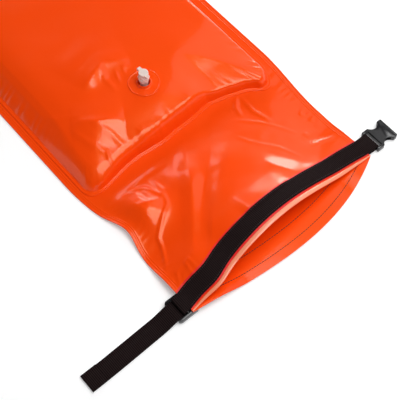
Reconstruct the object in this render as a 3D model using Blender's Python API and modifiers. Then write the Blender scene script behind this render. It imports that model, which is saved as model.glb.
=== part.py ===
"""Open water swim buoy: a roll-top dry bag with an inflatable chamber welded on its front.

Metres, +Z up. The bag lies on its back on the ground. +X runs across it towards the socket half of the
buckle, +Y runs along it from the open mouth to the far end.
"""

import math

import bmesh
import bpy
from mathutils import Matrix, Vector

for old in list(bpy.data.objects):
    bpy.data.objects.remove(old)

GAP = 0.0003

# Bag, laid flat: its outline, its film and the mouth's two lips
BAG_HALF_WIDTH = 0.170
MOUTH_TAPER = 0.010
MOUTH_HALF_WIDTH = BAG_HALF_WIDTH - MOUTH_TAPER
MOUTH_TAPER_LENGTH = 0.120
MOUTH_TAPER_MARGIN = 0.030
FAR_END_Y = 0.350
REAR_FILM = 0.0008
FRONT_FILM = 0.0007
FRONT_LIP_Y = -0.347
CHAMBER_SET_BACK = 0.197
CHAMBER_NEAR_Y = FRONT_LIP_Y + CHAMBER_SET_BACK
MOUTH_TAPER_START = CHAMBER_NEAR_Y + MOUTH_TAPER_MARGIN
REAR_LIP_REACH = 0.033
REAR_LIP_Y = FRONT_LIP_Y - REAR_LIP_REACH
LIP_SKEW = 0.0105
FRONT_LIP_BOW = -0.0065
REAR_LIP_BOW = 0.0265
SIDE_SEAM_SHARE = 0.96

# How far the mouth stands open, and the air left in the bag behind it
MOUTH_RISE = 0.032
BAG_PUFF = 0.014
MOUTH_RISE_POWER = 2.6
PUFF_SHARE = 0.25
CREST_SHARE = -0.10
LEFT_FALL_POWER = 1.3
RIGHT_FALL_POWER = 1.8
LIP_FADE_LENGTH = 0.170

# Lifts of the rear panel: over its stiffener, and at the corners over the buckle halves
STIFFENER_LIFT = 0.0020
PLUG_HIGH = 0.0090
PLUG_CLEARANCE = 0.0005
LEFT_CORNER_LIFT = PLUG_HIGH + PLUG_CLEARANCE
RIGHT_CORNER_LIFT = 0.0048
LIFT_FULL = 0.045
LIFT_RUN = 0.030
CORNER_SLACK = 0.0005
CORNER_LIFT_DEPTH = 0.082
CORNER_LIFT_Y = FRONT_LIP_Y + CORNER_LIFT_DEPTH
CORNER_LIFT_RUN = 0.055
LEFT_LIFT_SHARE = 0.48
LEFT_LIFT_RUN_SHARE = 0.32
RIGHT_LIFT_SHARE = 0.62
RIGHT_LIFT_RUN_SHARE = 0.26

# Strips along the mouth
WEBBING_WIDTH = 0.025
WEBBING = 0.0015
WEBBING_INSET = 0.009
CORNER_INSET_LOSS = 0.005
TRIM = 0.0005
TRIM_MARGIN = 0.0015
HEM = 0.0005
HEM_WIDTH = 0.0065
HEM_SET_BACK = 0.0004
STIFFENER_INSET = 0.010
STIFFENER_SHARE = 0.78

# Chamber
CHAMBER_MARGIN = 0.014
CHAMBER_HALF_WIDTH = BAG_HALF_WIDTH - CHAMBER_MARGIN
CHAMBER_FAR_MARGIN = 0.028
CHAMBER_FAR_Y = FAR_END_Y - CHAMBER_FAR_MARGIN
CHAMBER_CORNER = 0.024
CHAMBER_FILM = 0.0007
WELD_WIDTH = 0.005
CHAMBER_SHOULDER = 0.045
CHAMBER_HEIGHT = 0.027
SHOULDER_POWER = 2.0

# Valve
VALVE_X = -0.002
VALVE_SET_BACK = 0.076
VALVE_Y = CHAMBER_NEAR_Y + VALVE_SET_BACK
FLANGE_RADIUS = 0.019
FLANGE = 0.0008
COLLAR_RADIUS = 0.0108
COLLAR_WALL = 0.0012
COLLAR_HEIGHT = 0.0034
STEM_RADIUS = 0.0058
STEM_BORE = 0.0034
STEM_HEIGHT = 0.021
STEM_BELOW = 0.006
STEM_LIP_RADIUS = 0.0070
STEM_LIP = 0.0018
SLEEVE_WALL = 0.0012
SLEEVE_HEIGHT = 0.0030
PLUG_TOP_RADIUS = 0.0031
PLUG_TIP_RADIUS = 0.0020
PLUG_DEPTH = 0.0050
CAP_RADIUS = 0.0066
CAP = 0.0016
CAP_TAB_LENGTH = 0.0065
CAP_TAB_WIDTH = 0.0050
VALVE_HINGE_REACH = 0.0096
VALVE_EAR_WIDTH = 0.0050
VALVE_EAR = 0.0024
FLAP_RADIUS = 0.0046
FLAP = 0.0008
TURN_STEPS = 32

# Buckle, in its own frame: +X along it, Y across it, heights from the table
BUCKLE_HALF_WIDTH = 0.0165
BUCKLE_LOW = 0.0003
BUCKLE_HIGH = 0.0089
BUCKLE_MID = (BUCKLE_LOW + BUCKLE_HIGH) / 2
FRAME_INNER = 0.0130
BUCKLE_BEVEL = 0.0009
SOCKET_STAND_OFF = 0.0175
SOCKET_BAR_X = MOUTH_HALF_WIDTH + SOCKET_STAND_OFF
SOCKET_SET_BACK = 0.0205
SOCKET_Y = FRONT_LIP_Y + SOCKET_SET_BACK
SOCKET_BAR_RADIUS = 0.0016
SOCKET_SLOT_END = 0.0064
SOCKET_LENGTH = 0.0330
SOCKET_BACK = 0.0026
SOCKET_WAIST = 0.0102
SOCKET_FLARE_X = 0.0265
SOCKET_SHOULDER_X = 0.0085
SOCKET_POCKET_START = 0.0110
SOCKET_POCKET_HALF = 0.0134
SOCKET_POCKET_HALF_HEIGHT = 0.0027
SOCKET_RIM = 0.0022
SOCKET_RIM_RISE = 0.0003

PLUG_SET_FORWARD = 0.0005
PLUG_Y = FRONT_LIP_Y - PLUG_SET_FORWARD
PLUG_STAND_OUT = 0.0200
PLUG_BACK_X = -MOUTH_HALF_WIDTH - PLUG_STAND_OUT
PLUG_TAB_LENGTH = 0.0094
PLUG_TAB_END_X = PLUG_BACK_X + PLUG_TAB_LENGTH
PLUG_BAR_SET_IN = 0.0133
PLUG_BAR_X = PLUG_BACK_X + PLUG_BAR_SET_IN
PLUG_BAR_RADIUS = 0.0013
PLUG_SLOT_LENGTH = 0.0172
PLUG_SLOT_END_X = PLUG_BACK_X + PLUG_SLOT_LENGTH
PLUG_BODY_LENGTH = 0.0300
PLUG_FACE_X = PLUG_BACK_X + PLUG_BODY_LENGTH
PLUG_LENGTH = 0.0490
PLUG_TIP_X = PLUG_BACK_X + PLUG_LENGTH
PLUG_CORNER = 0.0050
PLUG_LOW = 0.0004
PLUG_BAR_Z = 0.0049
PLUG_TAB_LOW = 0.0030
PLUG_TAB_HIGH = 0.0058
TONGUE_HALF_WIDTH = 0.0036
TONGUE_LOW = 0.0027
TONGUE_HIGH = 0.0067
TONGUE_TIP_SHARE = 0.55
ARM_Y = 0.0118
ARM_HALF_WIDTH = 0.0015
ARM_LOW = 0.0025
ARM_HIGH = 0.0069
ARM_ROOT_GAP = 0.0003
ARM_HEAD_SET_IN = 0.0395
ARM_HEAD_X = PLUG_BACK_X + ARM_HEAD_SET_IN
ARM_HEAD_REACH = 0.0162

# The strap's fold over the left corner and the tail beyond the plug
FOLD_STAND_OUT = 0.0080
FOLD_X = -MOUTH_HALF_WIDTH - FOLD_STAND_OUT
FOLD_ABOVE_LIFT = 0.0016
FOLD_Z = LEFT_CORNER_LIFT + FOLD_ABOVE_LIFT
FOLD_RADIUS = 0.00215
TAIL_INSIDE_FOLD = 0.0028
TAIL_START_X = FOLD_X + TAIL_INSIDE_FOLD
TAIL_START_Z = 0.0080
TAIL_OVER_SLOT = 0.0017
TAIL_LENGTH = 0.1420
TAIL_END_X = FOLD_X - TAIL_LENGTH
TAIL_FALL_START = 0.0035
TAIL_FALL_LENGTH = 0.0315
TAIL_FALL_POWER = 1.6
TAIL_REST = 0.0003
TAIL_DROOP_Y = 0.0035
TAIL_HEM_LENGTH = 0.022
TAIL_POINT_SHARES = (0.42, 0.18, 0.0)
FOLD_STEPS = 8
LOOP_RISE = 0.0020
LOOP_TAIL = 0.0140

# Leash anchor at the far end
ANCHOR_PATCH_HALF = 0.030
ANCHOR_PATCH_DEPTH = 0.0215
ANCHOR_MARGIN = 0.0020
ANCHOR_PATCH_FAR_Y = FAR_END_Y - ANCHOR_MARGIN
ANCHOR_PATCH_NEAR_Y = ANCHOR_PATCH_FAR_Y - ANCHOR_PATCH_DEPTH
ANCHOR_PATCH = 0.0006
TAB_SEAM = 0.0160
TAB_SEAM_MARGIN = 0.0015
TAB_NEAR_Y = ANCHOR_PATCH_NEAR_Y + TAB_SEAM_MARGIN
TAB_JOIN_Y = TAB_NEAR_Y + TAB_SEAM
RING_ROD = 0.0019
RING_HALF_WIDTH = 0.0165
RING_REACH = 0.0190
RING_STAND_OFF = 0.0065
RING_BAR_Y = FAR_END_Y + RING_STAND_OFF
RING_BAR_Z = 0.0072
RING_CORNER = 0.0050


def smooth(x):
    x = min(1.0, max(0.0, x))
    return x * x * (3 - 2 * x)


def material(name, colour, roughness):
    made = bpy.data.materials.new(name)
    made.use_nodes = True
    shader = made.node_tree.nodes["Principled BSDF"]
    shader.inputs["Base Color"].default_value = (*colour, 1.0)
    shader.inputs["Roughness"].default_value = roughness
    return made


ORANGE = material("orange_film", (0.90, 0.07, 0.005), 0.30)
SALMON = material("lip_film", (0.95, 0.22, 0.08), 0.25)
DARK_RED = material("trim_tape", (0.45, 0.01, 0.01), 0.45)
WEB = material("black_webbing", (0.012, 0.010, 0.011), 0.80)
BUCKLE = material("buckle_plastic", (0.035, 0.033, 0.036), 0.28)
CLEAR = material("valve_vinyl", (0.85, 0.62, 0.56), 0.20)
RING = material("ring_plastic", (0.020, 0.020, 0.022), 0.35)

product = bpy.data.collections.new("swim_buoy")
cutters = bpy.data.collections.new("cutters")
bpy.context.scene.collection.children.link(product)
bpy.context.scene.collection.children.link(cutters)


def node(name, points, faces, look, origin=(0, 0, 0)):
    """A mesh object from world points, its own origin put at origin and its faces turned outwards."""
    mesh = bpy.data.meshes.new(name)
    mesh.from_pydata([[p[0] - origin[0], p[1] - origin[1], p[2] - origin[2]] for p in points], [], faces)
    work = bmesh.new()
    work.from_mesh(mesh)
    bmesh.ops.recalc_face_normals(work, faces=work.faces)
    work.to_mesh(mesh)
    work.free()
    made = bpy.data.objects.new(name, mesh)
    made.location = origin
    if look:
        mesh.materials.append(look)
    product.objects.link(made)
    return made


def as_cutter(made):
    product.objects.unlink(made)
    cutters.objects.link(made)
    made.hide_render = True
    made.display_type = "WIRE"
    return made


def combine(target, other, operation):
    step = target.modifiers.new(other.name, "BOOLEAN")
    step.object = other
    step.operation = operation
    step.solver = "EXACT"


def bevel(target, width, angle=35.0):
    step = target.modifiers.new("edges", "BEVEL")
    step.width = width
    step.segments = 2
    step.limit_method = "ANGLE"
    step.angle_limit = math.radians(angle)


def loft(name, sections, look, origin=(0, 0, 0)):
    """A closed solid through like sections, each a closed loop of points, with both ends capped."""
    count = len(sections[0])
    points = [p for section in sections for p in section]
    faces = []
    for row in range(len(sections) - 1):
        for i in range(count):
            j = (i + 1) % count
            faces.append((row * count + i, row * count + j, (row + 1) * count + j, (row + 1) * count + i))
    faces.append(tuple(range(count)))
    faces.append(tuple(range((len(sections) - 1) * count, len(sections) * count)))
    return node(name, points, faces, look, origin)


def skin(name, rows, columns, low, high, look):
    """A film between two height fields over the same grid. low and high give a point for a row and a column."""
    points = [low(r, c) for r in rows for c in columns] + [high(r, c) for r in rows for c in columns]
    wide, deep = len(columns), len(rows)
    top = wide * deep
    faces = []
    for r in range(deep - 1):
        for c in range(wide - 1):
            corner = r * wide + c
            quad = (corner, corner + 1, corner + wide + 1, corner + wide)
            faces.append(quad)
            faces.append(tuple(i + top for i in reversed(quad)))
    rim = list(range(wide)) + [r * wide + wide - 1 for r in range(1, deep)]
    rim += [(deep - 1) * wide + c for c in range(wide - 2, -1, -1)] + [r * wide for r in range(deep - 2, 0, -1)]
    for i, here in enumerate(rim):
        after = rim[(i + 1) % len(rim)]
        faces.append((here, here + top, after + top, after))
    return node(name, points, faces, look)


def turned(name, profile, centre, look, origin=None):
    """A revolve round a vertical axis of (radius, height) pairs, listed clockwise. A solid one starts and ends on the axis."""
    mesh = bpy.data.meshes.new(name)
    count = len(profile)
    edges = [(i, (i + 1) % count) for i in range(count if profile[0][0] else count - 1)]
    mesh.from_pydata([(r, 0, z) for r, z in profile], edges, [])
    made = bpy.data.objects.new(name, mesh)
    made.location = (centre[0], centre[1], 0)
    if look:
        mesh.materials.append(look)
    product.objects.link(made)
    turn = made.modifiers.new("turn", "SCREW")
    turn.steps = TURN_STEPS
    turn.render_steps = TURN_STEPS
    turn.use_merge_vertices = True
    turn.merge_threshold = 0.00005
    turn.use_smooth_shade = False
    if origin:
        shift = Vector(made.location) - Vector(origin)
        solid = solid_of(made)
        solid.transform(Matrix.Translation(shift))
        made.modifiers.clear()
        made.data = solid
        made.location = Vector(origin)
    return made


def solid_of(made):
    """The object's mesh with its modifiers applied, in the object's own frame."""
    graph = bpy.context.evaluated_depsgraph_get()
    graph.update()
    return bpy.data.meshes.new_from_object(made.evaluated_get(graph))


def plate(name, outline, low, high, look, origin=(0, 0, 0)):
    """An outline in plan, raised from low to high."""
    return loft(name, [[(x, y, z) for x, y in outline] for z in (low, high)], look, origin)


def block(name, low, high, look=None, origin=(0, 0, 0)):
    outline = [(low[0], low[1]), (high[0], low[1]), (high[0], high[1]), (low[0], high[1])]
    return plate(name, outline, low[2], high[2], look, origin)


def rod_y(name, x, y0, y1, z, radius, look=None, sides=16, origin=(0, 0, 0)):
    turns = [2 * math.pi * i / sides for i in range(sides)]
    rings = [[(x + radius * math.cos(a), y, z + radius * math.sin(a)) for a in turns] for y in (y0, y1)]
    return loft(name, rings, look, origin)


def arc(centre, radius, start, end, steps):
    """Points of an arc in a plane, its angles in degrees."""
    turns = [math.radians(start + (end - start) * i / steps) for i in range(steps + 1)]
    return [(centre[0] + radius * math.cos(a), centre[1] + radius * math.sin(a)) for a in turns]


# Surfaces of the bag
def half_width(y):
    narrowing = smooth((MOUTH_TAPER_START - y) / MOUTH_TAPER_LENGTH)
    return BAG_HALF_WIDTH - (BAG_HALF_WIDTH - MOUTH_HALF_WIDTH) * narrowing


def front_lip(s):
    return FRONT_LIP_Y + LIP_SKEW * s + FRONT_LIP_BOW * s * s


def rear_lip(s):
    return REAR_LIP_Y + LIP_SKEW * s**3 + REAR_LIP_BOW * s * s


def along(s, depth, lip):
    """The y of a point this far behind the lip. The lip's curve fades out with depth."""
    fade = 1 - smooth(depth / LIP_FADE_LENGTH)
    return lip(0) + depth + (lip(s) - lip(0)) * fade


def corner_shares(s, y):
    """How much of the left and of the right corner's lift a point has."""
    near_mouth = smooth((CORNER_LIFT_Y - y) / CORNER_LIFT_RUN)
    left = smooth((-s - LEFT_LIFT_SHARE) / LEFT_LIFT_RUN_SHARE) * near_mouth
    right = smooth((s - RIGHT_LIFT_SHARE) / RIGHT_LIFT_RUN_SHARE) * near_mouth
    return left, right


def rear_height(s, y):
    """Underside of the rear panel."""
    behind = y - rear_lip(s)
    lift = STIFFENER_LIFT * (1 - smooth((behind - LIFT_FULL) / LIFT_RUN))
    left, right = corner_shares(s, y)
    return lift + (LEFT_CORNER_LIFT - lift) * left + (RIGHT_CORNER_LIFT - lift) * right


def opening(s, y):
    """Clear height inside the bag."""
    depth = (CHAMBER_NEAR_Y - y) / (CHAMBER_NEAR_Y - FRONT_LIP_Y)
    if depth <= 0:
        return 0.0
    rise = BAG_PUFF * smooth(depth / PUFF_SHARE) + MOUTH_RISE * min(depth, 1.0) ** MOUTH_RISE_POWER
    if s < CREST_SHARE:
        fall, power = (CREST_SHARE - s) / (CREST_SHARE + SIDE_SEAM_SHARE), LEFT_FALL_POWER
    else:
        fall, power = (s - CREST_SHARE) / (SIDE_SEAM_SHARE - CREST_SHARE), RIGHT_FALL_POWER
    if fall >= 1:
        return 0.0
    return rise * math.cos(fall * math.pi / 2) ** power


def front_height(s, y):
    """Underside of the front panel."""
    return rear_height(s, y) + REAR_FILM + GAP + CORNER_SLACK * max(corner_shares(s, y)) + opening(s, y)


def inset(s, depth):
    """Depth of a strip's edge behind the lip: the strips close up to the lip at the corners."""
    loss = CORNER_INSET_LOSS * s**4
    if depth < HEM_WIDTH:
        return depth - loss * depth / HEM_WIDTH
    return depth - loss * (1 - smooth((depth - WEBBING_INSET - WEBBING_WIDTH) / WEBBING_WIDTH))


def rear_point(offset):
    def at(depth, s):
        y = along(s, depth, rear_lip)
        return (s * half_width(y), y, rear_height(s, y) + offset)

    return at


def front_point(offset):
    def at(depth, s):
        y = along(s, inset(s, depth), front_lip)
        return (s * half_width(y), y, front_height(s, y) + offset)

    return at


# Rear and front panels, welded to each other down both sides and across the far end
EDGE_SHARES = [0.84, 0.90, SIDE_SEAM_SHARE, 1.0]
INNER_SHARES = [i * 0.07 for i in range(12)]
COLUMNS = sorted({-x for x in EDGE_SHARES + INNER_SHARES} | set(EDGE_SHARES + INNER_SHARES))
REAR_ROWS = [0, 0.0100, 0.0180, 0.0260, 0.0350, 0.0430, 0.0510, 0.0590, 0.0670, 0.0750, 0.0840, 0.0930, 0.1030]
REAR_ROWS += [0.1140, 0.1260, 0.1400, 0.1700, 0.2700, 0.5000, FAR_END_Y - REAR_LIP_Y]
skin("rear_panel", REAR_ROWS, COLUMNS, rear_point(0), rear_point(REAR_FILM), ORANGE)

WEB_ROWS = [WEBBING_INSET + WEBBING_WIDTH * i / 3 for i in range(4)]
TRIM_ROWS = [WEBBING_INSET - TRIM_MARGIN, *WEB_ROWS, WEBBING_INSET + WEBBING_WIDTH + TRIM_MARGIN]
FRONT_ROWS = [0, HEM_SET_BACK, HEM_WIDTH, *TRIM_ROWS]
FRONT_ROWS += [0.0440, 0.0530, 0.0620, 0.0710, 0.0800, 0.0900, 0.1030, 0.1180, 0.1330, 0.1470, 0.1580, 0.1680]
FRONT_ROWS += [0.1780, 0.1860, 0.1920]
FRONT_ROWS += [CHAMBER_NEAR_Y - FRONT_LIP_Y, 0.2400, 0.4500, FAR_END_Y - FRONT_LIP_Y]
skin("front_panel", FRONT_ROWS, COLUMNS, front_point(0), front_point(FRONT_FILM), ORANGE)

# Strips on the front lip: its hem, the red tape, and the webbing sewn over the tape
ON_FRONT = FRONT_FILM + GAP
hem_rows = [HEM_SET_BACK, HEM_WIDTH]
skin("lip_hem", hem_rows, COLUMNS, front_point(ON_FRONT), front_point(ON_FRONT + HEM), SALMON)
skin("trim_tape", TRIM_ROWS, COLUMNS, front_point(ON_FRONT), front_point(ON_FRONT + TRIM), DARK_RED)
ON_TAPE = ON_FRONT + TRIM + GAP

# Stiffener sewn under the rear lip
stiffener_columns = [s for s in COLUMNS if -STIFFENER_SHARE <= s <= STIFFENER_SHARE]
skin(
    "rear_stiffener",
    [row for row in REAR_ROWS if STIFFENER_INSET <= row <= STIFFENER_INSET + WEBBING_WIDTH],
    stiffener_columns,
    rear_point(-GAP - WEBBING),
    rear_point(-GAP),
    WEB,
)


# Straps
def strap_section(x, z, tilt, y0, y1):
    """A strap's cross-section at a point of its path, for a path in the XZ plane that runs at angle tilt."""
    normal = (-math.sin(tilt) * WEBBING / 2, math.cos(tilt) * WEBBING / 2)
    steps = [y0 + (y1 - y0) * i / 3 for i in range(4)]
    under = [(x - normal[0], y, z - normal[1]) for y in steps]
    over = [(x + normal[0], y, z + normal[1]) for y in reversed(steps)]
    return under + over


def strap_path(path, y_of):
    """Sections of a strap along (x, z) points, each square to the path."""
    sections = []
    for i, (x, z) in enumerate(path):
        before, after = path[max(i - 1, 0)], path[min(i + 1, len(path) - 1)]
        tilt = math.atan2(after[1] - before[1], after[0] - before[0])
        sections.append(strap_section(x, z, tilt, *y_of(x)))
    return sections


def sewn_section(s):
    under = [front_point(ON_TAPE)(depth, s) for depth in WEB_ROWS]
    over = [front_point(ON_TAPE + WEBBING)(depth, s) for depth in reversed(WEB_ROWS)]
    return under + over


def strap_edges(centre):
    return centre - WEBBING_WIDTH / 2, centre + WEBBING_WIDTH / 2


fold_top = FOLD_Z + FOLD_RADIUS
fold_arc = arc((FOLD_X, FOLD_Z), FOLD_RADIUS, 270, 90, FOLD_STEPS)
left_path = [*fold_arc, ((FOLD_X - MOUTH_HALF_WIDTH) / 2, fold_top)]
left_sections = strap_path(left_path, lambda x: strap_edges(PLUG_Y))
loop_radius = SOCKET_BAR_RADIUS + GAP + WEBBING / 2
loop_arc = arc((SOCKET_BAR_X, BUCKLE_MID), loop_radius, 90, -90, FOLD_STEPS)
RIGHT_CORNER_TOP = RIGHT_CORNER_LIFT + REAR_FILM + GAP + CORNER_SLACK + ON_TAPE + WEBBING / 2
UNDER_CORNER = RIGHT_CORNER_LIFT - GAP - WEBBING / 2
LOOP_TAIL_X = MOUTH_HALF_WIDTH - LOOP_TAIL
LOOP_RISE_X = MOUTH_HALF_WIDTH + LOOP_RISE
right_path = [((MOUTH_HALF_WIDTH + SOCKET_BAR_X) / 2, (RIGHT_CORNER_TOP + BUCKLE_MID + loop_radius) / 2)]
right_path += [*loop_arc, (LOOP_RISE_X, UNDER_CORNER), (LOOP_TAIL_X, UNDER_CORNER)]
right_sections = strap_path(right_path, lambda x: strap_edges(SOCKET_Y))
loft("mouth_webbing", [*left_sections, *[sewn_section(s) for s in COLUMNS], *right_sections], WEB)

TAIL_OVER_TAB = PLUG_TAB_HIGH + GAP + WEBBING / 2
TAIL_ON_TABLE = TAIL_REST + WEBBING / 2
SLOT_X = (PLUG_BAR_X + PLUG_BAR_RADIUS + PLUG_SLOT_END_X) / 2
plug_origin = (FOLD_X, PLUG_Y, FOLD_Z)
BAR_TURN = PLUG_BAR_RADIUS + GAP + WEBBING / 2
TAB_TURN = TAIL_OVER_TAB - PLUG_BAR_Z
FALL_X = PLUG_BACK_X + TAIL_FALL_START
FALL_STEPS = 7


def fallen(share):
    """A point of the tail where it comes down from the lift tab to the table."""
    left = smooth(1 - share) ** TAIL_FALL_POWER
    return (FALL_X - TAIL_FALL_LENGTH * share, TAIL_ON_TABLE + (TAIL_OVER_TAB - TAIL_ON_TABLE) * left)


tail_path = [(TAIL_START_X, TAIL_START_Z), (SLOT_X, PLUG_BAR_Z + TAIL_OVER_SLOT)]
tail_path += arc((PLUG_BAR_X, PLUG_BAR_Z), BAR_TURN, 0, -180, FOLD_STEPS)
tail_path += arc((PLUG_BAR_X - BAR_TURN - TAB_TURN, PLUG_BAR_Z), TAB_TURN, 0, 90, 4)[1:]
tail_path += [fallen(i / FALL_STEPS) for i in range(FALL_STEPS + 1)]
tail_path += [(TAIL_END_X + TAIL_LENGTH * share, TAIL_ON_TABLE) for share in TAIL_POINT_SHARES]


def tail_edges(x):
    swing = TAIL_DROOP_Y * smooth((TAIL_START_X - x) / (TAIL_START_X - TAIL_END_X))
    return strap_edges(PLUG_Y - swing)


loft("tail_strap", strap_path(tail_path, tail_edges), WEB, plug_origin)
hem_path = [(TAIL_END_X + TAIL_HEM_LENGTH, TAIL_ON_TABLE + WEBBING + GAP), (TAIL_END_X, TAIL_ON_TABLE + WEBBING + GAP)]
loft("tail_hem", strap_path(hem_path, tail_edges), WEB, plug_origin)


# Chamber: a film welded round its edge, its shoulder rising to a flat crown
def chamber_ring(from_edge):
    """The chamber's outline, moved in by this much. Every ring has the same number of points."""
    half = CHAMBER_HALF_WIDTH - from_edge
    near, far = CHAMBER_NEAR_Y + from_edge, CHAMBER_FAR_Y - from_edge
    corner = max(CHAMBER_CORNER - from_edge / 2, CHAMBER_CORNER / 4)
    ring = []
    for x, y, start in (
        (half - corner, near + corner, -90),
        (half - corner, far - corner, 0),
        (-half + corner, far - corner, 90),
        (-half + corner, near + corner, 180),
    ):
        ring += arc((x, y), corner, start, start + 90, 6)
    full = []
    for i, here in enumerate(ring):
        after = ring[(i + 1) % len(ring)]
        full.append(here)
        parts = round(math.dist(here, after) / (2 * CHAMBER_HALF_WIDTH / 8)) if i % 7 == 6 else 1
        counts[i] = counts.get(i, parts)
        for k in range(1, counts[i]):
            full.append(tuple(a + (b - a) * k / counts[i] for a, b in zip(here, after)))
    return full


counts = {}
SHOULDER_STEPS = 7
ring_insets = [0.0, WELD_WIDTH] + [
    WELD_WIDTH + CHAMBER_SHOULDER * (i / SHOULDER_STEPS) ** 1.3 for i in range(1, SHOULDER_STEPS + 1)
]
CHAMBER_BASE = REAR_FILM + GAP + FRONT_FILM + GAP


def chamber_height(from_edge):
    share = min(1.0, max(0.0, from_edge - WELD_WIDTH) / CHAMBER_SHOULDER)
    return CHAMBER_BASE + CHAMBER_HEIGHT * (1 - (1 - share) ** SHOULDER_POWER)


def chamber_loop(from_edge, offset):
    return [(x, y, chamber_height(from_edge) + offset) for x, y in chamber_ring(from_edge)]


inner_loops = [chamber_loop(d, 0) for d in reversed(ring_insets)]
outer_loops = [chamber_loop(d, CHAMBER_FILM) for d in ring_insets]
film = loft("chamber_film", inner_loops + outer_loops, ORANGE)

# Valve: flange and collar on the crown, a stem that pushes in, its plug, and a flap under it
valve_centre = (VALVE_X, VALVE_Y)
CROWN_TOP = CHAMBER_BASE + CHAMBER_HEIGHT + CHAMBER_FILM
FLANGE_LOW = CROWN_TOP + GAP
FLANGE_HIGH = FLANGE_LOW + FLANGE
SLEEVE_INNER = STEM_RADIUS + GAP
hole = turned(
    "stem_hole",
    [(0, CROWN_TOP + GAP / 2), (SLEEVE_INNER, CROWN_TOP + GAP / 2), (SLEEVE_INNER, CHAMBER_BASE), (0, CHAMBER_BASE)],
    valve_centre,
    None,
)
as_cutter(hole)
combine(film, hole, "DIFFERENCE")
turned(
    "valve_base",
    [
        (SLEEVE_INNER, FLANGE_HIGH + SLEEVE_HEIGHT),
        (SLEEVE_INNER + SLEEVE_WALL, FLANGE_HIGH + SLEEVE_HEIGHT),
        (SLEEVE_INNER + SLEEVE_WALL, FLANGE_HIGH),
        (COLLAR_RADIUS - COLLAR_WALL, FLANGE_HIGH),
        (COLLAR_RADIUS - COLLAR_WALL / 2, FLANGE_HIGH + COLLAR_HEIGHT),
        (COLLAR_RADIUS + COLLAR_WALL / 2, FLANGE_HIGH + COLLAR_HEIGHT),
        (COLLAR_RADIUS + COLLAR_WALL, FLANGE_HIGH),
        (FLANGE_RADIUS, FLANGE_HIGH),
        (FLANGE_RADIUS, FLANGE_LOW),
        (SLEEVE_INNER, FLANGE_LOW),
    ],
    valve_centre,
    CLEAR,
)
STEM_TOP = FLANGE_HIGH + STEM_HEIGHT
STEM_FOOT = FLANGE_LOW - STEM_BELOW
stem_origin = (VALVE_X, VALVE_Y, STEM_TOP)
HINGE_Z = STEM_TOP - PLUG_DEPTH / 2
stem = turned(
    "valve_stem",
    [
        (STEM_BORE, STEM_TOP),
        (STEM_LIP_RADIUS, STEM_TOP),
        (STEM_LIP_RADIUS, STEM_TOP - STEM_LIP),
        (STEM_RADIUS, STEM_TOP - 2 * STEM_LIP),
        (STEM_RADIUS, STEM_FOOT),
        (STEM_BORE, STEM_FOOT),
    ],
    valve_centre,
    CLEAR,
    stem_origin,
)
ear = block(
    "stem_ear",
    (VALVE_X - VALVE_EAR_WIDTH / 2, VALVE_Y + STEM_BORE + VALVE_EAR / 2, HINGE_Z - VALVE_EAR),
    (VALVE_X + VALVE_EAR_WIDTH / 2, VALVE_Y + VALVE_HINGE_REACH - VALVE_EAR / 2, HINGE_Z - VALVE_EAR / 4),
)
as_cutter(ear)
combine(stem, ear, "UNION")
plug_hinge = (VALVE_X, VALVE_Y + VALVE_HINGE_REACH, HINGE_Z)
CAP_LOW = STEM_TOP + GAP
plug = turned(
    "valve_plug",
    [
        (0, CAP_LOW + CAP),
        (CAP_RADIUS - CAP / 3, CAP_LOW + CAP),
        (CAP_RADIUS, CAP_LOW + CAP / 2),
        (CAP_RADIUS, CAP_LOW),
        (PLUG_TOP_RADIUS, CAP_LOW),
        (PLUG_TIP_RADIUS, CAP_LOW - PLUG_DEPTH),
        (0, CAP_LOW - PLUG_DEPTH),
    ],
    valve_centre,
    CLEAR,
    plug_hinge,
)
strap_y = VALVE_Y + VALVE_HINGE_REACH
tether_profile = [
    (VALVE_Y + CAP_RADIUS - CAP, CAP_LOW + CAP),
    (strap_y + CAP / 2, CAP_LOW + CAP),
    (strap_y + CAP, CAP_LOW),
    (strap_y + CAP / 2, HINGE_Z - CAP / 2),
    (strap_y - CAP / 2, HINGE_Z - CAP / 3),
    (strap_y - CAP / 2, CAP_LOW + CAP / 4),
    (VALVE_Y + CAP_RADIUS - CAP, CAP_LOW + CAP / 4),
]
tether_sides = [VALVE_X - VALVE_EAR_WIDTH / 2, VALVE_X + VALVE_EAR_WIDTH / 2]
tether = loft("plug_tether", [[(x, y, z) for y, z in tether_profile] for x in tether_sides], None)
as_cutter(tether)
combine(plug, tether, "UNION")
pull_tab = block(
    "plug_pull_tab",
    (VALVE_X - CAP_TAB_WIDTH / 2, VALVE_Y - CAP_RADIUS - CAP_TAB_LENGTH / 2, CAP_LOW + CAP / 4),
    (VALVE_X + CAP_TAB_WIDTH / 2, VALVE_Y - CAP_RADIUS + CAP_TAB_LENGTH / 2, CAP_LOW + CAP * 3 / 4),
)
as_cutter(pull_tab)
combine(plug, pull_tab, "UNION")
flap_hinge = (VALVE_X, VALVE_Y + FLAP_RADIUS, STEM_FOOT - GAP - FLAP / 2)
turned(
    "valve_flap",
    [(0, STEM_FOOT - GAP), (FLAP_RADIUS, STEM_FOOT - GAP), (FLAP_RADIUS, STEM_FOOT - GAP - FLAP), (0, STEM_FOOT - GAP - FLAP)],
    valve_centre,
    CLEAR,
    flap_hinge,
)


# Socket half of the buckle
def mirrored(edge):
    """A closed outline from its +Y edge, given as (x, y) from back to front."""
    return [(x, -y) for x, y in edge] + [(x, y) for x, y in reversed(edge)]


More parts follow.
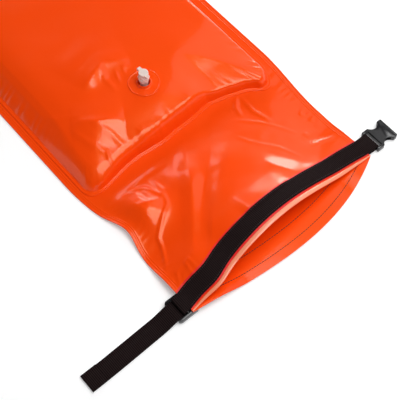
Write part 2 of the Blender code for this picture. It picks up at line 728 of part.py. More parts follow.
def socket_edge():
    """Half of the socket's outline: a squared frame, a finger waist and a flared mouth."""
    wide, waist = BUCKLE_HALF_WIDTH, SOCKET_WAIST
    span = SOCKET_FLARE_X - SOCKET_SHOULDER_X
    edge = [(-SOCKET_BACK, wide - SOCKET_BACK / 2), (-SOCKET_BACK / 2, wide), (SOCKET_SHOULDER_X, wide)]
    for i in range(1, 12):
        share = i / 12
        dip = math.sin(math.pi * share) ** 0.8
        edge.append((SOCKET_SHOULDER_X + span * share, wide - (wide - waist) * dip))
    return edge + [(SOCKET_FLARE_X, wide), (SOCKET_LENGTH - SOCKET_BACK / 2, wide), (SOCKET_LENGTH, wide - SOCKET_BACK / 2)]


def at_socket(points):
    return [(SOCKET_BAR_X + x, SOCKET_Y + y) for x, y in points]


socket_origin = (SOCKET_BAR_X, SOCKET_Y, BUCKLE_MID)
socket = plate("buckle_socket", at_socket(mirrored(socket_edge())), BUCKLE_LOW, BUCKLE_HIGH, BUCKLE, socket_origin)
bevel(socket, BUCKLE_BEVEL)
rim = plate(
    "socket_rim",
    at_socket(
        mirrored(
            [
                (SOCKET_LENGTH - SOCKET_RIM, BUCKLE_HALF_WIDTH - SOCKET_BACK / 2),
                (SOCKET_LENGTH - SOCKET_RIM / 4, BUCKLE_HALF_WIDTH - SOCKET_BACK / 2),
            ]
        )
    ),
    BUCKLE_LOW + GAP,
    BUCKLE_HIGH + SOCKET_RIM_RISE,
    None,
    socket_origin,
)
as_cutter(rim)
combine(socket, rim, "UNION")
pocket = block(
    "socket_pocket",
    (SOCKET_BAR_X + SOCKET_POCKET_START, SOCKET_Y - SOCKET_POCKET_HALF, BUCKLE_MID - SOCKET_POCKET_HALF_HEIGHT),
    (SOCKET_BAR_X + SOCKET_LENGTH + SOCKET_RIM, SOCKET_Y + SOCKET_POCKET_HALF, BUCKLE_MID + SOCKET_POCKET_HALF_HEIGHT),
    origin=socket_origin,
)
frame_gap = block(
    "socket_frame_gap",
    (SOCKET_BAR_X - 2 * SOCKET_BACK, SOCKET_Y - FRAME_INNER, 0 - SOCKET_BACK),
    (SOCKET_BAR_X + SOCKET_SLOT_END, SOCKET_Y + FRAME_INNER, BUCKLE_HIGH + SOCKET_BACK),
    origin=socket_origin,
)
socket_bar = rod_y(
    "socket_bar",
    SOCKET_BAR_X,
    SOCKET_Y - FRAME_INNER - 2 * GAP,
    SOCKET_Y + FRAME_INNER + 2 * GAP,
    BUCKLE_MID,
    SOCKET_BAR_RADIUS,
    origin=socket_origin,
)
for tool, operation in ((pocket, "DIFFERENCE"), (frame_gap, "DIFFERENCE"), (socket_bar, "UNION")):
    as_cutter(tool)
    combine(socket, tool, operation)

# Plug half of the buckle: a ladder frame, a guide tongue and two sprung latch arms
plug_edge = [(PLUG_BACK_X + x, y) for x, y in ((0.0, BUCKLE_HALF_WIDTH - PLUG_CORNER),)]
plug_edge += arc((PLUG_BACK_X + PLUG_CORNER, BUCKLE_HALF_WIDTH - PLUG_CORNER), PLUG_CORNER, 165, 90, 5)
plug_edge += [(PLUG_FACE_X - PLUG_CORNER / 2, BUCKLE_HALF_WIDTH), (PLUG_FACE_X, BUCKLE_HALF_WIDTH - PLUG_CORNER / 4)]
plug_body = plate(
    "buckle_plug",
    [(x, PLUG_Y + y) for x, y in mirrored(plug_edge)],
    PLUG_LOW,
    PLUG_HIGH,
    BUCKLE,
    plug_origin,
)
bevel(plug_body, BUCKLE_BEVEL)
ladder_gap = block(
    "plug_ladder_gap",
    (PLUG_BACK_X - PLUG_CORNER, PLUG_Y - FRAME_INNER, 0 - PLUG_CORNER),
    (PLUG_SLOT_END_X, PLUG_Y + FRAME_INNER, PLUG_HIGH + PLUG_CORNER),
    origin=plug_origin,
)
plug_bar = rod_y(
    "plug_bar",
    PLUG_BAR_X,
    PLUG_Y - FRAME_INNER - 2 * GAP,
    PLUG_Y + FRAME_INNER + 2 * GAP,
    PLUG_BAR_Z,
    PLUG_BAR_RADIUS,
    origin=plug_origin,
)
lift_tab = loft(
    "plug_lift_tab",
    [
        [
            (PLUG_BACK_X + GAP, y, (PLUG_TAB_LOW + PLUG_TAB_HIGH) / 2),
            (PLUG_BACK_X + 4 * GAP, y, PLUG_TAB_LOW),
            (PLUG_TAB_END_X, y, PLUG_TAB_LOW),
            (PLUG_TAB_END_X, y, PLUG_TAB_HIGH - GAP),
            (PLUG_TAB_END_X - GAP, y, PLUG_TAB_HIGH),
            (PLUG_BACK_X + 4 * GAP, y, PLUG_TAB_HIGH),
        ]
        for y in (PLUG_Y - FRAME_INNER - 2 * GAP, PLUG_Y + FRAME_INNER + 2 * GAP)
    ],
    None,
    plug_origin,
)
tongue_tip = TONGUE_HALF_WIDTH * TONGUE_TIP_SHARE
tongue_bend = PLUG_TIP_X - TONGUE_HALF_WIDTH
tongue = plate(
    "plug_tongue",
    [
        (x, PLUG_Y + y)
        for x, y in mirrored(
            [(PLUG_FACE_X - 4 * GAP, TONGUE_HALF_WIDTH), (tongue_bend, TONGUE_HALF_WIDTH), (PLUG_TIP_X, tongue_tip)]
        )
    ],
    TONGUE_LOW,
    TONGUE_HIGH,
    None,
    plug_origin,
)
for tool, operation in (
    (ladder_gap, "DIFFERENCE"),
    (plug_bar, "UNION"),
    (lift_tab, "UNION"),
    (tongue, "UNION"),
):
    as_cutter(tool)
    combine(plug_body, tool, operation)

ARM_ROOT_X = PLUG_FACE_X + ARM_ROOT_GAP + ARM_HALF_WIDTH


def arm_outline(side):
    """A latch arm in plan: a round root on its hinge, a slim spring, and a head with an outer catch."""
    root = arc((ARM_ROOT_X, ARM_Y), ARM_HALF_WIDTH, 90, 270, 8)
    inner = ARM_Y - ARM_HALF_WIDTH
    head = [(ARM_HEAD_X, inner), (PLUG_TIP_X - 2 * ARM_HALF_WIDTH, inner - ARM_HALF_WIDTH / 2)]
    head += [(PLUG_TIP_X, inner + ARM_HALF_WIDTH / 2), (PLUG_TIP_X - ARM_HALF_WIDTH / 2, ARM_Y + ARM_HALF_WIDTH)]
    head += [(PLUG_TIP_X - 2 * ARM_HALF_WIDTH, ARM_HEAD_REACH - ARM_HALF_WIDTH / 2)]
    head += [(ARM_HEAD_X + 2 * ARM_HALF_WIDTH, ARM_HEAD_REACH), (ARM_HEAD_X + ARM_HALF_WIDTH / 2, ARM_HEAD_REACH)]
    head += [(ARM_HEAD_X, ARM_Y + ARM_HALF_WIDTH)]
    return [(x, PLUG_Y + side * y) for x, y in root + head]


for name, side in (("latch_arm_near", -1), ("latch_arm_far", 1)):
    origin = (ARM_ROOT_X, PLUG_Y + side * ARM_Y, BUCKLE_MID)
    plate(name, arm_outline(side), ARM_LOW, ARM_HIGH, BUCKLE, origin)

# Leash anchor: a welded patch, a sewn webbing loop and a ring
patch_top = CHAMBER_BASE + ANCHOR_PATCH
block(
    "anchor_patch",
    (-ANCHOR_PATCH_HALF, ANCHOR_PATCH_NEAR_Y, CHAMBER_BASE),
    (ANCHOR_PATCH_HALF, ANCHOR_PATCH_FAR_Y, patch_top),
    ORANGE,
)
tab_radius = RING_ROD + GAP + WEBBING / 2
low_leg = patch_top + GAP + WEBBING / 2
high_leg = low_leg + WEBBING + GAP
tab_path = [(TAB_NEAR_Y, low_leg), (TAB_JOIN_Y, low_leg)]
tab_path += arc((RING_BAR_Y, RING_BAR_Z), tab_radius, -100, 100, 12)
tab_path += [(TAB_JOIN_Y + WEBBING, high_leg), (TAB_NEAR_Y, high_leg)]


def tab_section(i):
    before, after = tab_path[max(i - 1, 0)], tab_path[min(i + 1, len(tab_path) - 1)]
    tilt = math.atan2(after[1] - before[1], after[0] - before[0])
    y, z = tab_path[i]
    across = (-math.sin(tilt) * WEBBING / 2, math.cos(tilt) * WEBBING / 2)
    half = WEBBING_WIDTH / 2
    return [
        (-half, y - across[0], z - across[1]),
        (half, y - across[0], z - across[1]),
        (half, y + across[0], z + across[1]),
        (-half, y + across[0], z + across[1]),
    ]


loft("anchor_tab", [tab_section(i) for i in range(len(tab_path))], WEB)

ring_origin = (0, RING_BAR_Y, RING_BAR_Z)
ring_path = [(-RING_HALF_WIDTH + RING_CORNER, 0.0), (RING_HALF_WIDTH - RING_CORNER, 0.0)]
ring_path += arc((RING_HALF_WIDTH - RING_CORNER, RING_CORNER), RING_CORNER, -60, 0, 2)
reach = RING_REACH - RING_CORNER
bow = [math.radians(a) for a in range(15, 180, 15)]
ring_path += [(RING_HALF_WIDTH * math.cos(a), RING_CORNER + reach * math.sin(a)) for a in bow]
ring_path += arc((-RING_HALF_WIDTH + RING_CORNER, RING_CORNER), RING_CORNER, 180, 240, 2)
curve = bpy.data.curves.new("leash_ring", "CURVE")
curve.dimensions = "3D"
curve.bevel_depth = RING_ROD
curve.bevel_resolution = 2
line = curve.splines.new("POLY")
line.points.add(len(ring_path) - 1)
for point, (x, y) in zip(line.points, ring_path):
    point.co = (x, y, 0, 1)
line.use_cyclic_u = True
curve.materials.append(RING)
ring = bpy.data.objects.new("leash_ring", curve)
ring.location = ring_origin
ring.rotation_euler = (-math.asin((RING_BAR_Z - RING_ROD) / RING_REACH), 0, 0)
product.objects.link(ring)
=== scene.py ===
"""Looks of the open water swim buoy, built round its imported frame.

Metres, +Z up, in the frame of the part: +X towards the socket half of the buckle, +Y from the mouth to
the far end. A share s runs across the bag, from -1 at its left edge to 1 at its right edge.
"""

import math

import bmesh
import bpy
import numpy as np
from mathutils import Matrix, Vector


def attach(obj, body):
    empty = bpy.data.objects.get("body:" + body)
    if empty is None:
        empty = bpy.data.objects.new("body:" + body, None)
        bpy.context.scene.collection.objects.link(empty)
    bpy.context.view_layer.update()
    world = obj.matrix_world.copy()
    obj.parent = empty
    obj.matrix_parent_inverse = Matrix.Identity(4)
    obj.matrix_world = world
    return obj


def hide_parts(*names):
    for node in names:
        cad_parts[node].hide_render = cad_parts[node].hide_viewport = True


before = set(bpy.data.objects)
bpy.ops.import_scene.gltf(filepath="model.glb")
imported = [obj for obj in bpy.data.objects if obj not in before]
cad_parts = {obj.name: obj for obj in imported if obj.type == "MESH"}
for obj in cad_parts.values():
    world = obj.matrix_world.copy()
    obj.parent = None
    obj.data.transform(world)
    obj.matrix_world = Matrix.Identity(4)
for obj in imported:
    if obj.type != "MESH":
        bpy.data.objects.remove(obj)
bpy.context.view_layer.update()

# Sizes repeated from the part
GAP = 0.0003
BAG_HALF_WIDTH = 0.170
MOUTH_TAPER = 0.010
MOUTH_HALF_WIDTH = BAG_HALF_WIDTH - MOUTH_TAPER
MOUTH_TAPER_START = -0.120
MOUTH_TAPER_LENGTH = 0.120
FAR_END_Y = 0.350
FRONT_LIP_Y = -0.347
REAR_LIP_Y = -0.380
CHAMBER_NEAR_Y = -0.150
CHAMBER_FAR_Y = 0.322
CHAMBER_HALF_WIDTH = 0.156
REAR_FILM = 0.0008
FRONT_FILM = 0.0007
WEBBING = 0.0015
WEBBING_WIDTH = 0.025
WEBBING_INSET = 0.009
HEM_WIDTH = 0.0065
TRIM = 0.0005
ON_FRONT = FRONT_FILM + GAP
ON_TAPE = ON_FRONT + TRIM + GAP
VALVE_X, VALVE_Y = -0.002, -0.074
PLUG_Y = -0.3475
SOCKET_Y = -0.3265
FOLD_X, FOLD_Z, FOLD_RADIUS = -0.1680, 0.0111, 0.00215
LEFT_CORNER_Z, RIGHT_CORNER_Z = 0.0095, 0.0048
CORNER_SLACK = 0.0005
SEAM_SHARE = 0.955
PATCH = 0.0006
CHAMBER_FLOOR = 0.0021


def smooth(x):
    """A soft step from 0 to 1, while x goes from 0 to 1."""
    x = np.clip(x, 0.0, 1.0)
    return x * x * (3 - 2 * x)


def bell(x):
    """A hump of height 1 round 0."""
    return np.exp(-np.square(x))


# The bag's surfaces, as the part has them
def half_width(y):
    """Half the bag's width at y."""
    return BAG_HALF_WIDTH - MOUTH_TAPER * smooth((MOUTH_TAPER_START - y) / MOUTH_TAPER_LENGTH)


def front_lip(s):
    """The front lip's y at share s."""
    return FRONT_LIP_Y + 0.0105 * s - 0.0065 * s * s - 0.0050 * bell((s + 0.72) / 0.13)


def rear_lip(s):
    """The rear lip's y at share s."""
    return REAR_LIP_Y + 0.0105 * s**3 + 0.0265 * s * s


def along(s, depth, lip):
    """The y this deep behind a lip. The lip's curve fades out over 170 mm."""
    fade = 1 - smooth(depth / 0.170)
    return lip(0.0) + depth + (lip(s) - lip(0.0)) * fade


def corner_shares(s, y):
    """How much a point belongs to the mouth's left and right corners, each from 0 to 1."""
    near_mouth = smooth((-0.265 - y) / 0.055)
    return smooth((-s - 0.48) / 0.32) * near_mouth, smooth((s - 0.62) / 0.26) * near_mouth


def rear_base(s, y):
    """Height of the rear panel's underside, lifted over the buckle at both corners."""
    lift = 0.0020 * (1 - smooth((y - rear_lip(s) - 0.045) / 0.030))
    left, right = corner_shares(s, y)
    return lift + (LEFT_CORNER_Z - lift) * left + (RIGHT_CORNER_Z - lift) * right


def opening(s, y):
    """How far the front panel rises over the rear one, from the open mouth to the chamber."""
    depth = np.maximum((CHAMBER_NEAR_Y - y) / (CHAMBER_NEAR_Y - FRONT_LIP_Y), 0.0)
    level = 1 - np.log1p(np.exp((1 - depth / 0.85) * 16)) / 16
    rise = 0.014 * smooth(depth / 0.42) + 0.0275 * np.maximum(level, 0.0) ** 2.4
    fall = np.where(s < -0.10, (-0.10 - s) / 0.86, (s + 0.10) / 1.06)
    power = np.where(s < -0.10, 1.3, 1.8)
    return rise * np.cos(np.clip(fall, 0, 1) * math.pi / 2) ** power


def inset(s, depth):
    """The depth behind the lip, with the strips moved up to 5 mm towards it at the corners."""
    loss = 0.005 * s**4
    at_lip = depth - loss * depth / HEM_WIDTH
    behind = depth - loss * (1 - smooth((depth - WEBBING_INSET - WEBBING_WIDTH) / WEBBING_WIDTH))
    return np.where(depth < HEM_WIDTH, at_lip, behind)


# Folds in the film: (height, half width, points of the fold's line), in millimetres
FRONT_FOLDS = [
    (0.7, 13, [(65, -185), (40, -203), (15, -228), (-10, -250), (-50, -283)]),
    (-2.2, 13, [(35, -165), (5, -203), (-25, -231), (-65, -268), (-98, -305)]),
    (3.2, 12, [(-22, -182), (-47, -225), (-82, -270), (-117, -312)]),
    (-0.25, 3, [(-30, -247), (-62, -276), (-100, -316)]),
    (0.4, 3, [(-65, -288), (-88, -314)]),
    (0.6, 3, [(45, -213), (52, -228), (62, -242), (75, -258), (86, -285)]),
    (0.6, 3, [(66, -190), (85, -210), (98, -230), (110, -252)]),
    (1.4, 4, [(74, -184), (78, -170), (90, -156)]),
    (1.2, 4, [(98, -216), (92, -190), (95, -162)]),
    (0.8, 2.5, [(112, -281), (128, -284), (147, -289)]),
    (-1.1, 6, [(112, -271), (146, -277)]),
    (0.9, 4, [(136, -236), (142, -233)]),
    (0.9, 4, [(140, -252), (147, -249)]),
    (0.7, 4, [(148, -216), (152, -212)]),
    (0.9, 5, [(116, -266), (124, -262)]),
    (1.5, 4, [(-113, -181), (-98, -190), (-92, -203), (-87, -219)]),
    (1.1, 4, [(-82, -190), (-82, -210), (-88, -220)]),
    (1.0, 4, [(-116, -213), (-100, -219), (-88, -219)]),
    (0.8, 5, [(-113, -181), (-85, -176), (-55, -177)]),
    (-1.2, 5, [(-106, -192), (-108, -212)]),
    (1.8, 3, [(-86, -221), (-92, -232), (-108, -242), (-122, -252), (-130, -259), (-133, -272),
              (-141, -287), (-151, -300), (-154, -308)]),
]  # fmt: skip
CORNER_FOLDS = [
    (1.0, 2.4, [(-131, -330), (-128, -311), (-122, -309), (-122, -326)]),
    (0.9, 3, [(-152, -330), (-142, -312), (-132, -310)]),
    (0.7, 2.5, [(-146, -326), (-138, -320), (-130, -321)]),
]
CHAMBER_FOLDS = [
    (1.2, 4, [(-120, -72), (-114, -100), (-106, -124)]),
    (1.2, 5, [(-105, -68), (-85, -85), (-62, -100)]),
    (1.0, 4, [(-95, -80), (-84, -110), (-82, -132)]),
    (1.2, 2, [(-104, -122), (-108, -131), (-110, -140)]),
    (0.7, 1.6, [(-53, -124), (-51, -136)]),
    (0.7, 1.6, [(-47, -124), (-46, -136)]),
    (0.7, 4, [(-133, 120), (-133, 0), (-133, -28), (-124, -42), (-100, -60)]),
    (4.4, 27, [(-118, -64), (-105, -72), (-85, -88), (-58, -104)]),
    (2.6, 15, [(-72, -30), (-48, -18), (-25, -13), (8, -30)]),
    (2.4, 30, [(-76, -16), (-48, -4), (-25, 2), (12, -14)]),
    (2.2, 52, [(-80, 8), (-48, 22), (-25, 26), (16, 10)]),
    (1.0, 4, [(-38, -58), (-38, -36), (-30, -14)]),
    (0.8, 3, [(-26, -55), (-20, -34)]),
    (0.9, 3, [(-14, -54), (-8, -36), (6, -42)]),
    (1.2, 8, [(-66, -31), (-45, -22), (-30, -13)]),
    (0.8, 2.2, [(-26, -134), (-25, -145)]),
    (0.8, 2.2, [(-15, -134), (-14, -145)]),
    (0.8, 2.2, [(-4, -134), (-5, -145)]),
    (0.8, 2.2, [(9, -134), (8, -145)]),
    (0.8, 2.2, [(22, -135), (23, -145)]),
]


def folds(x, y, lines):
    """Height of all the folds at each point. A fold fades out towards its line's ends."""
    total = np.zeros_like(x)
    for height, width, line in lines:
        points = np.array(line) / 1000
        reach = 3 * width / 1000
        box = (x > points[:, 0].min() - reach) & (x < points[:, 0].max() + reach)
        box &= (y > points[:, 1].min() - reach) & (y < points[:, 1].max() + reach)
        if not box.any():
            continue
        px, py = x[box], y[box]
        best = np.full(px.shape, 1e9)
        share = np.zeros(px.shape)
        lengths = np.hypot(*np.diff(points, axis=0).T)
        for i, (a, b) in enumerate(zip(points[:-1], points[1:])):
            step = b - a
            t = np.clip(((px - a[0]) * step[0] + (py - a[1]) * step[1]) / (step @ step), 0, 1)
            gap = np.hypot(px - a[0] - t * step[0], py - a[1] - t * step[1])
            near = gap < best
            best = np.where(near, gap, best)
            share = np.where(near, (lengths[:i].sum() + t * lengths[i]) / lengths.sum(), share)
        fade = 0.25 + 0.75 * np.sin(math.pi * np.clip(share, 0, 1)) ** 0.7
        roof = 1 - (np.hypot(best * 1000 / width, 0.12) - 0.12) * 0.85
        total[box] += height / 1000 * fade * (roof + np.sqrt(roof * roof + 0.03)) / 2
    return total


def ripples(x, y, size, seed, count=9):
    """Smooth low waves in all directions, about this size across, with heights between -1 and 1."""
    draw = np.random.default_rng(seed)
    total = np.zeros_like(x)
    for _ in range(count):
        turn = draw.uniform(0, 2 * math.pi)
        wave = 2 * math.pi / (size * draw.uniform(0.7, 1.6))
        total += np.sin((x * math.cos(turn) + y * math.sin(turn)) * wave + draw.uniform(0, 2 * math.pi))
    return total / count**0.5 / 1.5


def bright_facet(x, y):
    """The steep facet right of the mouth's crest: it rises leftwards from a crease to a crest of its own."""
    u = -0.857 * (x - 0.056) - 0.515 * (y + 0.257)
    v = (0.515 * (x - 0.056) - 0.857 * (y + 0.257)) / 0.066
    wide = 0.019 * np.clip(1.15 - np.abs(v - 0.45) ** 2.2 * 2.6, 0.02, 1)
    rise = 0.100 * np.minimum(u, wide)
    rounded = 0.5 * (rise + np.sqrt(rise * rise + 2e-8))
    beyond = np.exp(-np.maximum(u - wide, 0) / 0.016)
    return rounded * beyond * smooth((v + 0.15) / 0.3) * smooth((1.35 - v) / 0.3)


# The left side's bulge behind the mouth, where the seam is drawn in
NOTCH_Y = -0.224


def notch(s, y):
    """How much a point belongs to the left side's bulge, from 0 to 1."""
    return bell((y - NOTCH_Y) / 0.030) * smooth((-s - 0.55) / 0.45)


def side_pull(s, y):
    """How far the side moves in, and how far it rises off the table."""
    strength = notch(s, y)
    return 0.0085 * strength, 0.0075 * strength


def rear_height(s, y):
    """Height of the rear panel's underside, with the side's rise."""
    return rear_base(s, y) + side_pull(s, y)[1]


def front_height(s, y):
    """Height of the front panel's underside, with its folds."""
    shares = corner_shares(s, y)
    base = rear_height(s, y) + REAR_FILM + GAP + CORNER_SLACK * np.maximum(*shares) + opening(s, y)
    x = s * half_width(y)
    behind_strip = smooth((y - front_lip(s) - 0.026) / 0.022)
    before_chamber = smooth((CHAMBER_NEAR_Y + 0.012 - y) / 0.030)
    in_seams = smooth((SEAM_SHARE - np.abs(s)) / 0.10)
    shape = folds(x, y, FRONT_FOLDS) + bright_facet(x, y)
    shape += 0.0005 * ripples(x, y, 0.070, 3) + 0.00013 * ripples(x, y, 0.028, 5)
    bulge = (
        0.0110 * bell((y - NOTCH_Y - 0.010) / 0.030)
        * smooth((SEAM_SHARE - np.abs(s)) / 0.20) * smooth((-s - 0.42) / 0.31)
    )  # fmt: skip
    pucker = 0.0006 * np.sin(y * 520 + 2 * np.sin(y * 130)) * smooth((np.abs(s) - 0.84) / 0.10) * in_seams
    lifted = np.maximum(base + shape * behind_strip * before_chamber * in_seams, base - opening(s, y) * 0.8)
    # beside the webbing: the film turns up in a band, and is crumpled at the left corner
    by_strip = smooth((y - front_lip(s) - 0.0275) / 0.007)
    band = 0.0021 * np.log1p(np.exp((-0.2835 - y) / 0.022 * 12)) / 12
    band *= smooth((x + 0.040) / 0.016) * smooth((0.049 - x) / 0.022)
    lifted = lifted + (bulge + pucker) * before_chamber * behind_strip
    return lifted + (band + folds(x, y, CORNER_FOLDS)) * by_strip


def placed(s, y, z):
    """The point at share s and y, with the left side drawn in."""
    x = s * half_width(y)
    return np.stack([x + np.where(s < 0, side_pull(s, y)[0], 0), y, z], -1)


def front_point(depth, s, offset):
    """The point this deep behind the front lip and this far over the front panel's underside."""
    y = along(s, inset(s, depth), front_lip)
    return placed(s, y, front_height(s, y) + offset)


def rear_point(depth, s, offset):
    """The point this deep behind the rear lip and this far over the rear panel's underside."""
    y = along(s, depth, rear_lip)
    return placed(s, y, rear_height(s, y) + offset)


# Meshes
product = bpy.data.collections.new("looks")
bpy.context.scene.collection.children.link(product)


def mesh_piece(name, points, faces, look, sharp=50.0, merge=True):
    """A closed piece with its faces outward, and one point where several were in the same place."""
    mesh = bpy.data.meshes.new(name)
    mesh.from_pydata(np.asarray(points, float).reshape(-1, 3).tolist(), [], faces)
    form = bmesh.new()
    form.from_mesh(mesh)
    if merge:
        bmesh.ops.remove_doubles(form, verts=form.verts, dist=2e-7)
    bmesh.ops.recalc_face_normals(form, faces=form.faces)
    form.to_mesh(mesh)
    form.free()
    mesh.validate()
    mesh.shade_smooth()
    mesh.set_sharp_from_angle(angle=math.radians(sharp))
    mesh.materials.append(look)
    made = bpy.data.objects.new(name, mesh)
    product.objects.link(made)
    return made


def ridden(piece, body, slot, *nodes):
    """Puts a piece on its body, in place of the CAD nodes named, which it hides. slot is not used."""
    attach(piece, body)
    if nodes:
        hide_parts(*nodes)
    return piece


def grid_faces(rows, columns, start=0, flip=False):
    """Quads between the points of a grid, rows x columns, from a first point on."""
    i = np.arange(rows - 1)[:, None] * columns + np.arange(columns - 1)[None] + start
    quads = np.stack([i, i + 1, i + columns + 1, i + columns], -1).reshape(-1, 4)
    return (quads[:, ::-1] if flip else quads).tolist()


def sheet_solid(name, low, high, look, sharp=50.0, weave=None):
    """A closed sheet between two grids of points, each rows x columns x 3."""
    rows, columns = low.shape[:2]
    top = rows * columns
    faces = grid_faces(rows, columns, 0, True) + grid_faces(rows, columns, top)
    rim = list(range(columns)) + [r * columns + columns - 1 for r in range(1, rows)]
    rim += [(rows - 1) * columns + c for c in range(columns - 2, -1, -1)]
    rim += [r * columns for r in range(rows - 2, 0, -1)]
    faces += [(a, b, b + top, a + top) for a, b in zip(rim, rim[1:] + rim[:1])]
    points = np.concatenate([low.reshape(-1, 3), high.reshape(-1, 3)])
    piece = mesh_piece(name, points, faces, look, sharp, weave is None)
    if weave is not None:
        mesh = piece.data
        layer = mesh.uv_layers.new(name="weave")
        corner = np.empty(len(mesh.loops), dtype=np.int32)
        mesh.loops.foreach_get("vertex_index", corner)
        flat = np.concatenate([weave.reshape(-1, 2)] * 2)
        layer.data.foreach_set("uv", flat[corner].astype(np.float32).ravel())
    return piece


def spread(*stops):
    """Positions from (start, end, step) runs, without doubles."""
    values = [np.arange(a, b, step) for a, b, step in stops] + [[stops[-1][1]]]
    return np.concatenate(values)


# Materials
class Look:
    """A material with a Principled shader, and short ways to add nodes to it."""

    def __init__(self, name, colour, roughness, **sockets):
        self.material = bpy.data.materials.new(name)
        self.material.use_nodes = True
        self.tree = self.material.node_tree
        self.shader = self.tree.nodes["Principled BSDF"]
        self.shader.inputs["Base Color"].default_value = (*colour, 1)
        self.shader.inputs["Roughness"].default_value = roughness
        for socket, value in sockets.items():
            self.shader.inputs[socket.replace("_", " ")].default_value = value
        place = self.tree.nodes.new("ShaderNodeTexCoord")
        self.place = place.outputs["Object"]
        self.weave = place.outputs["UV"]

    def noise(self, scale, detail, rough=0.55):
        """Noise in the object's own coordinates, with its scale per metre."""
        made = self.tree.nodes.new("ShaderNodeTexNoise")
        made.inputs["Scale"].default_value = scale
        made.inputs["Detail"].default_value = detail
        made.inputs["Roughness"].default_value = rough
        self.tree.links.new(self.place, made.inputs["Vector"])
        return made.outputs["Fac"]

    def bands(self, vector, direction, period):
        """Straight bands this far apart, as heights from 0 to 1."""
        made = self.tree.nodes.new("ShaderNodeTexWave")
        made.bands_direction = direction
        made.inputs["Scale"].default_value = math.pi / 10 / period
        self.tree.links.new(vector, made.inputs["Vector"])
        return made.outputs["Fac"]

    def mixed(self, a, b, share):
        """Two heights added by their shares."""
        made = self.tree.nodes.new("ShaderNodeMix")
        made.inputs[0].default_value = share
        self.tree.links.new(a, made.inputs[2])
        self.tree.links.new(b, made.inputs[3])
        return made.outputs[0]

    def spread(self, value, low, high, out_low, out_high):
        """The value's range from low to high, spread over another range."""
        made = self.tree.nodes.new("ShaderNodeMapRange")
        sockets = ("From Min", "From Max", "To Min", "To Max")
        for socket, number in zip(sockets, (low, high, out_low, out_high)):
            made.inputs[socket].default_value = number
        self.tree.links.new(value, made.inputs["Value"])
        return made.outputs["Result"]

    def ramp(self, value, *stops):
        """A colour from (position, colour) stops."""
        made = self.tree.nodes.new("ShaderNodeValToRGB")
        ramp = made.color_ramp
        while len(ramp.elements) < len(stops):
            ramp.elements.new(0.5)
        for element, (at, colour) in zip(ramp.elements, stops):
            element.position = at
            element.color = (*colour, 1)
        self.tree.links.new(value, made.inputs["Fac"])
        return made.outputs["Color"]

    def bump(self, *layers):
        """Adds (height output, depth in metres) layers of bump."""
        last = None
        for value, depth in layers:
            made = self.tree.nodes.new("ShaderNodeBump")
            made.inputs["Strength"].default_value = 1.0
            made.inputs["Distance"].default_value = depth
            self.tree.links.new(value, made.inputs["Height"])
            if last:
                self.tree.links.new(last, made.inputs["Normal"])
            last = made.outputs["Normal"]
        self.normal = last
        self.tree.links.new(last, self.shader.inputs["Normal"])

    def set(self, socket, output):
        """Links an output to one of the shader's sockets."""
        self.tree.links.new(output, self.shader.inputs[socket])


def film_look(name, dark, light, rough_low, rough_high, **sockets):
    """Glossy film: faint clouds in its colour and gloss, and very low dents."""
    look = Look(name, light, rough_low, **sockets)
    look.set("Base Color", look.ramp(look.noise(5, 2), (0.1, dark), (0.9, light)))
    look.set("Roughness", look.spread(look.noise(30, 5), 0.35, 0.7, rough_low, rough_high))
    look.bump((look.noise(60, 3), 0.00012), (look.noise(900, 2), 0.00001))
    look.set("Coat Normal", look.normal)
    return look.material


def cloth_look(name, dark, light, roughness):
    """Matt tape or thread, with fine fuzz over coarser unevenness."""
    look = Look(name, light, roughness)
    look.set("Base Color", look.ramp(look.noise(160, 5, 0.7), (0.35, dark), (0.7, light)))
    look.set("Roughness", look.spread(look.noise(300, 4), 0.3, 0.7, roughness - 0.1, roughness + 0.1))
    look.bump((look.noise(2600, 3), 0.00006), (look.noise(420, 3), 0.0001))
    return look.material


def webbing_look(name, dark, light):
    """Ribbed webbing: ridges across the strap, finer columns of yarn along it, and some fuzz, with painted
    shade in the grooves between them.
    """
    look = Look(name, light, 0.8, Specular_IOR_Level=0.06)
    ribs = look.bands(look.weave, "Y", RIB)
    yarns = look.bands(look.weave, "X", 0.0013)
    woven = look.mixed(ribs, yarns, 0.3)
    fuzz = look.noise(1500, 4, 0.7)
    # The colour ramp paints the grooves between ribs and yarns darker as shade; the fuzz varies the tone at
    # random.
    look.set("Base Color", look.ramp(look.mixed(woven, fuzz, 0.35), (0.3, dark), (0.7, light)))
    look.set("Roughness", look.spread(look.noise(300, 4), 0.3, 0.7, 0.68, 0.88))
    look.bump((woven, 0.00040), (fuzz, 0.00010))
    return look.material


def moulded_look(name, dark, light, rough_low, rough_high):
    """Moulded plastic, a little uneven in its gloss."""
    look = Look(name, light, rough_low)
    look.set("Base Color", look.ramp(look.noise(70, 4), (0.3, dark), (0.75, light)))
    look.set("Roughness", look.spread(look.noise(220, 5), 0.3, 0.7, rough_low, rough_high))
    look.bump((look.noise(350, 2), 0.000012))
    return look.material


RIB = 0.0023
COATED = {
    "Specular_IOR_Level": 0.42,
    "Specular_Tint": (1.0, 0.62, 0.16, 1),
    "Coat_Weight": 0.42,
    "Coat_Roughness": 0.11,
}
# A roughness range that crosses about 0.27 leaves hard-edged blotches in the render
FILM = film_look("orange_film", (0.95, 0.057, 0.001), (0.98, 0.068, 0.002), 0.28, 0.32, **COATED)
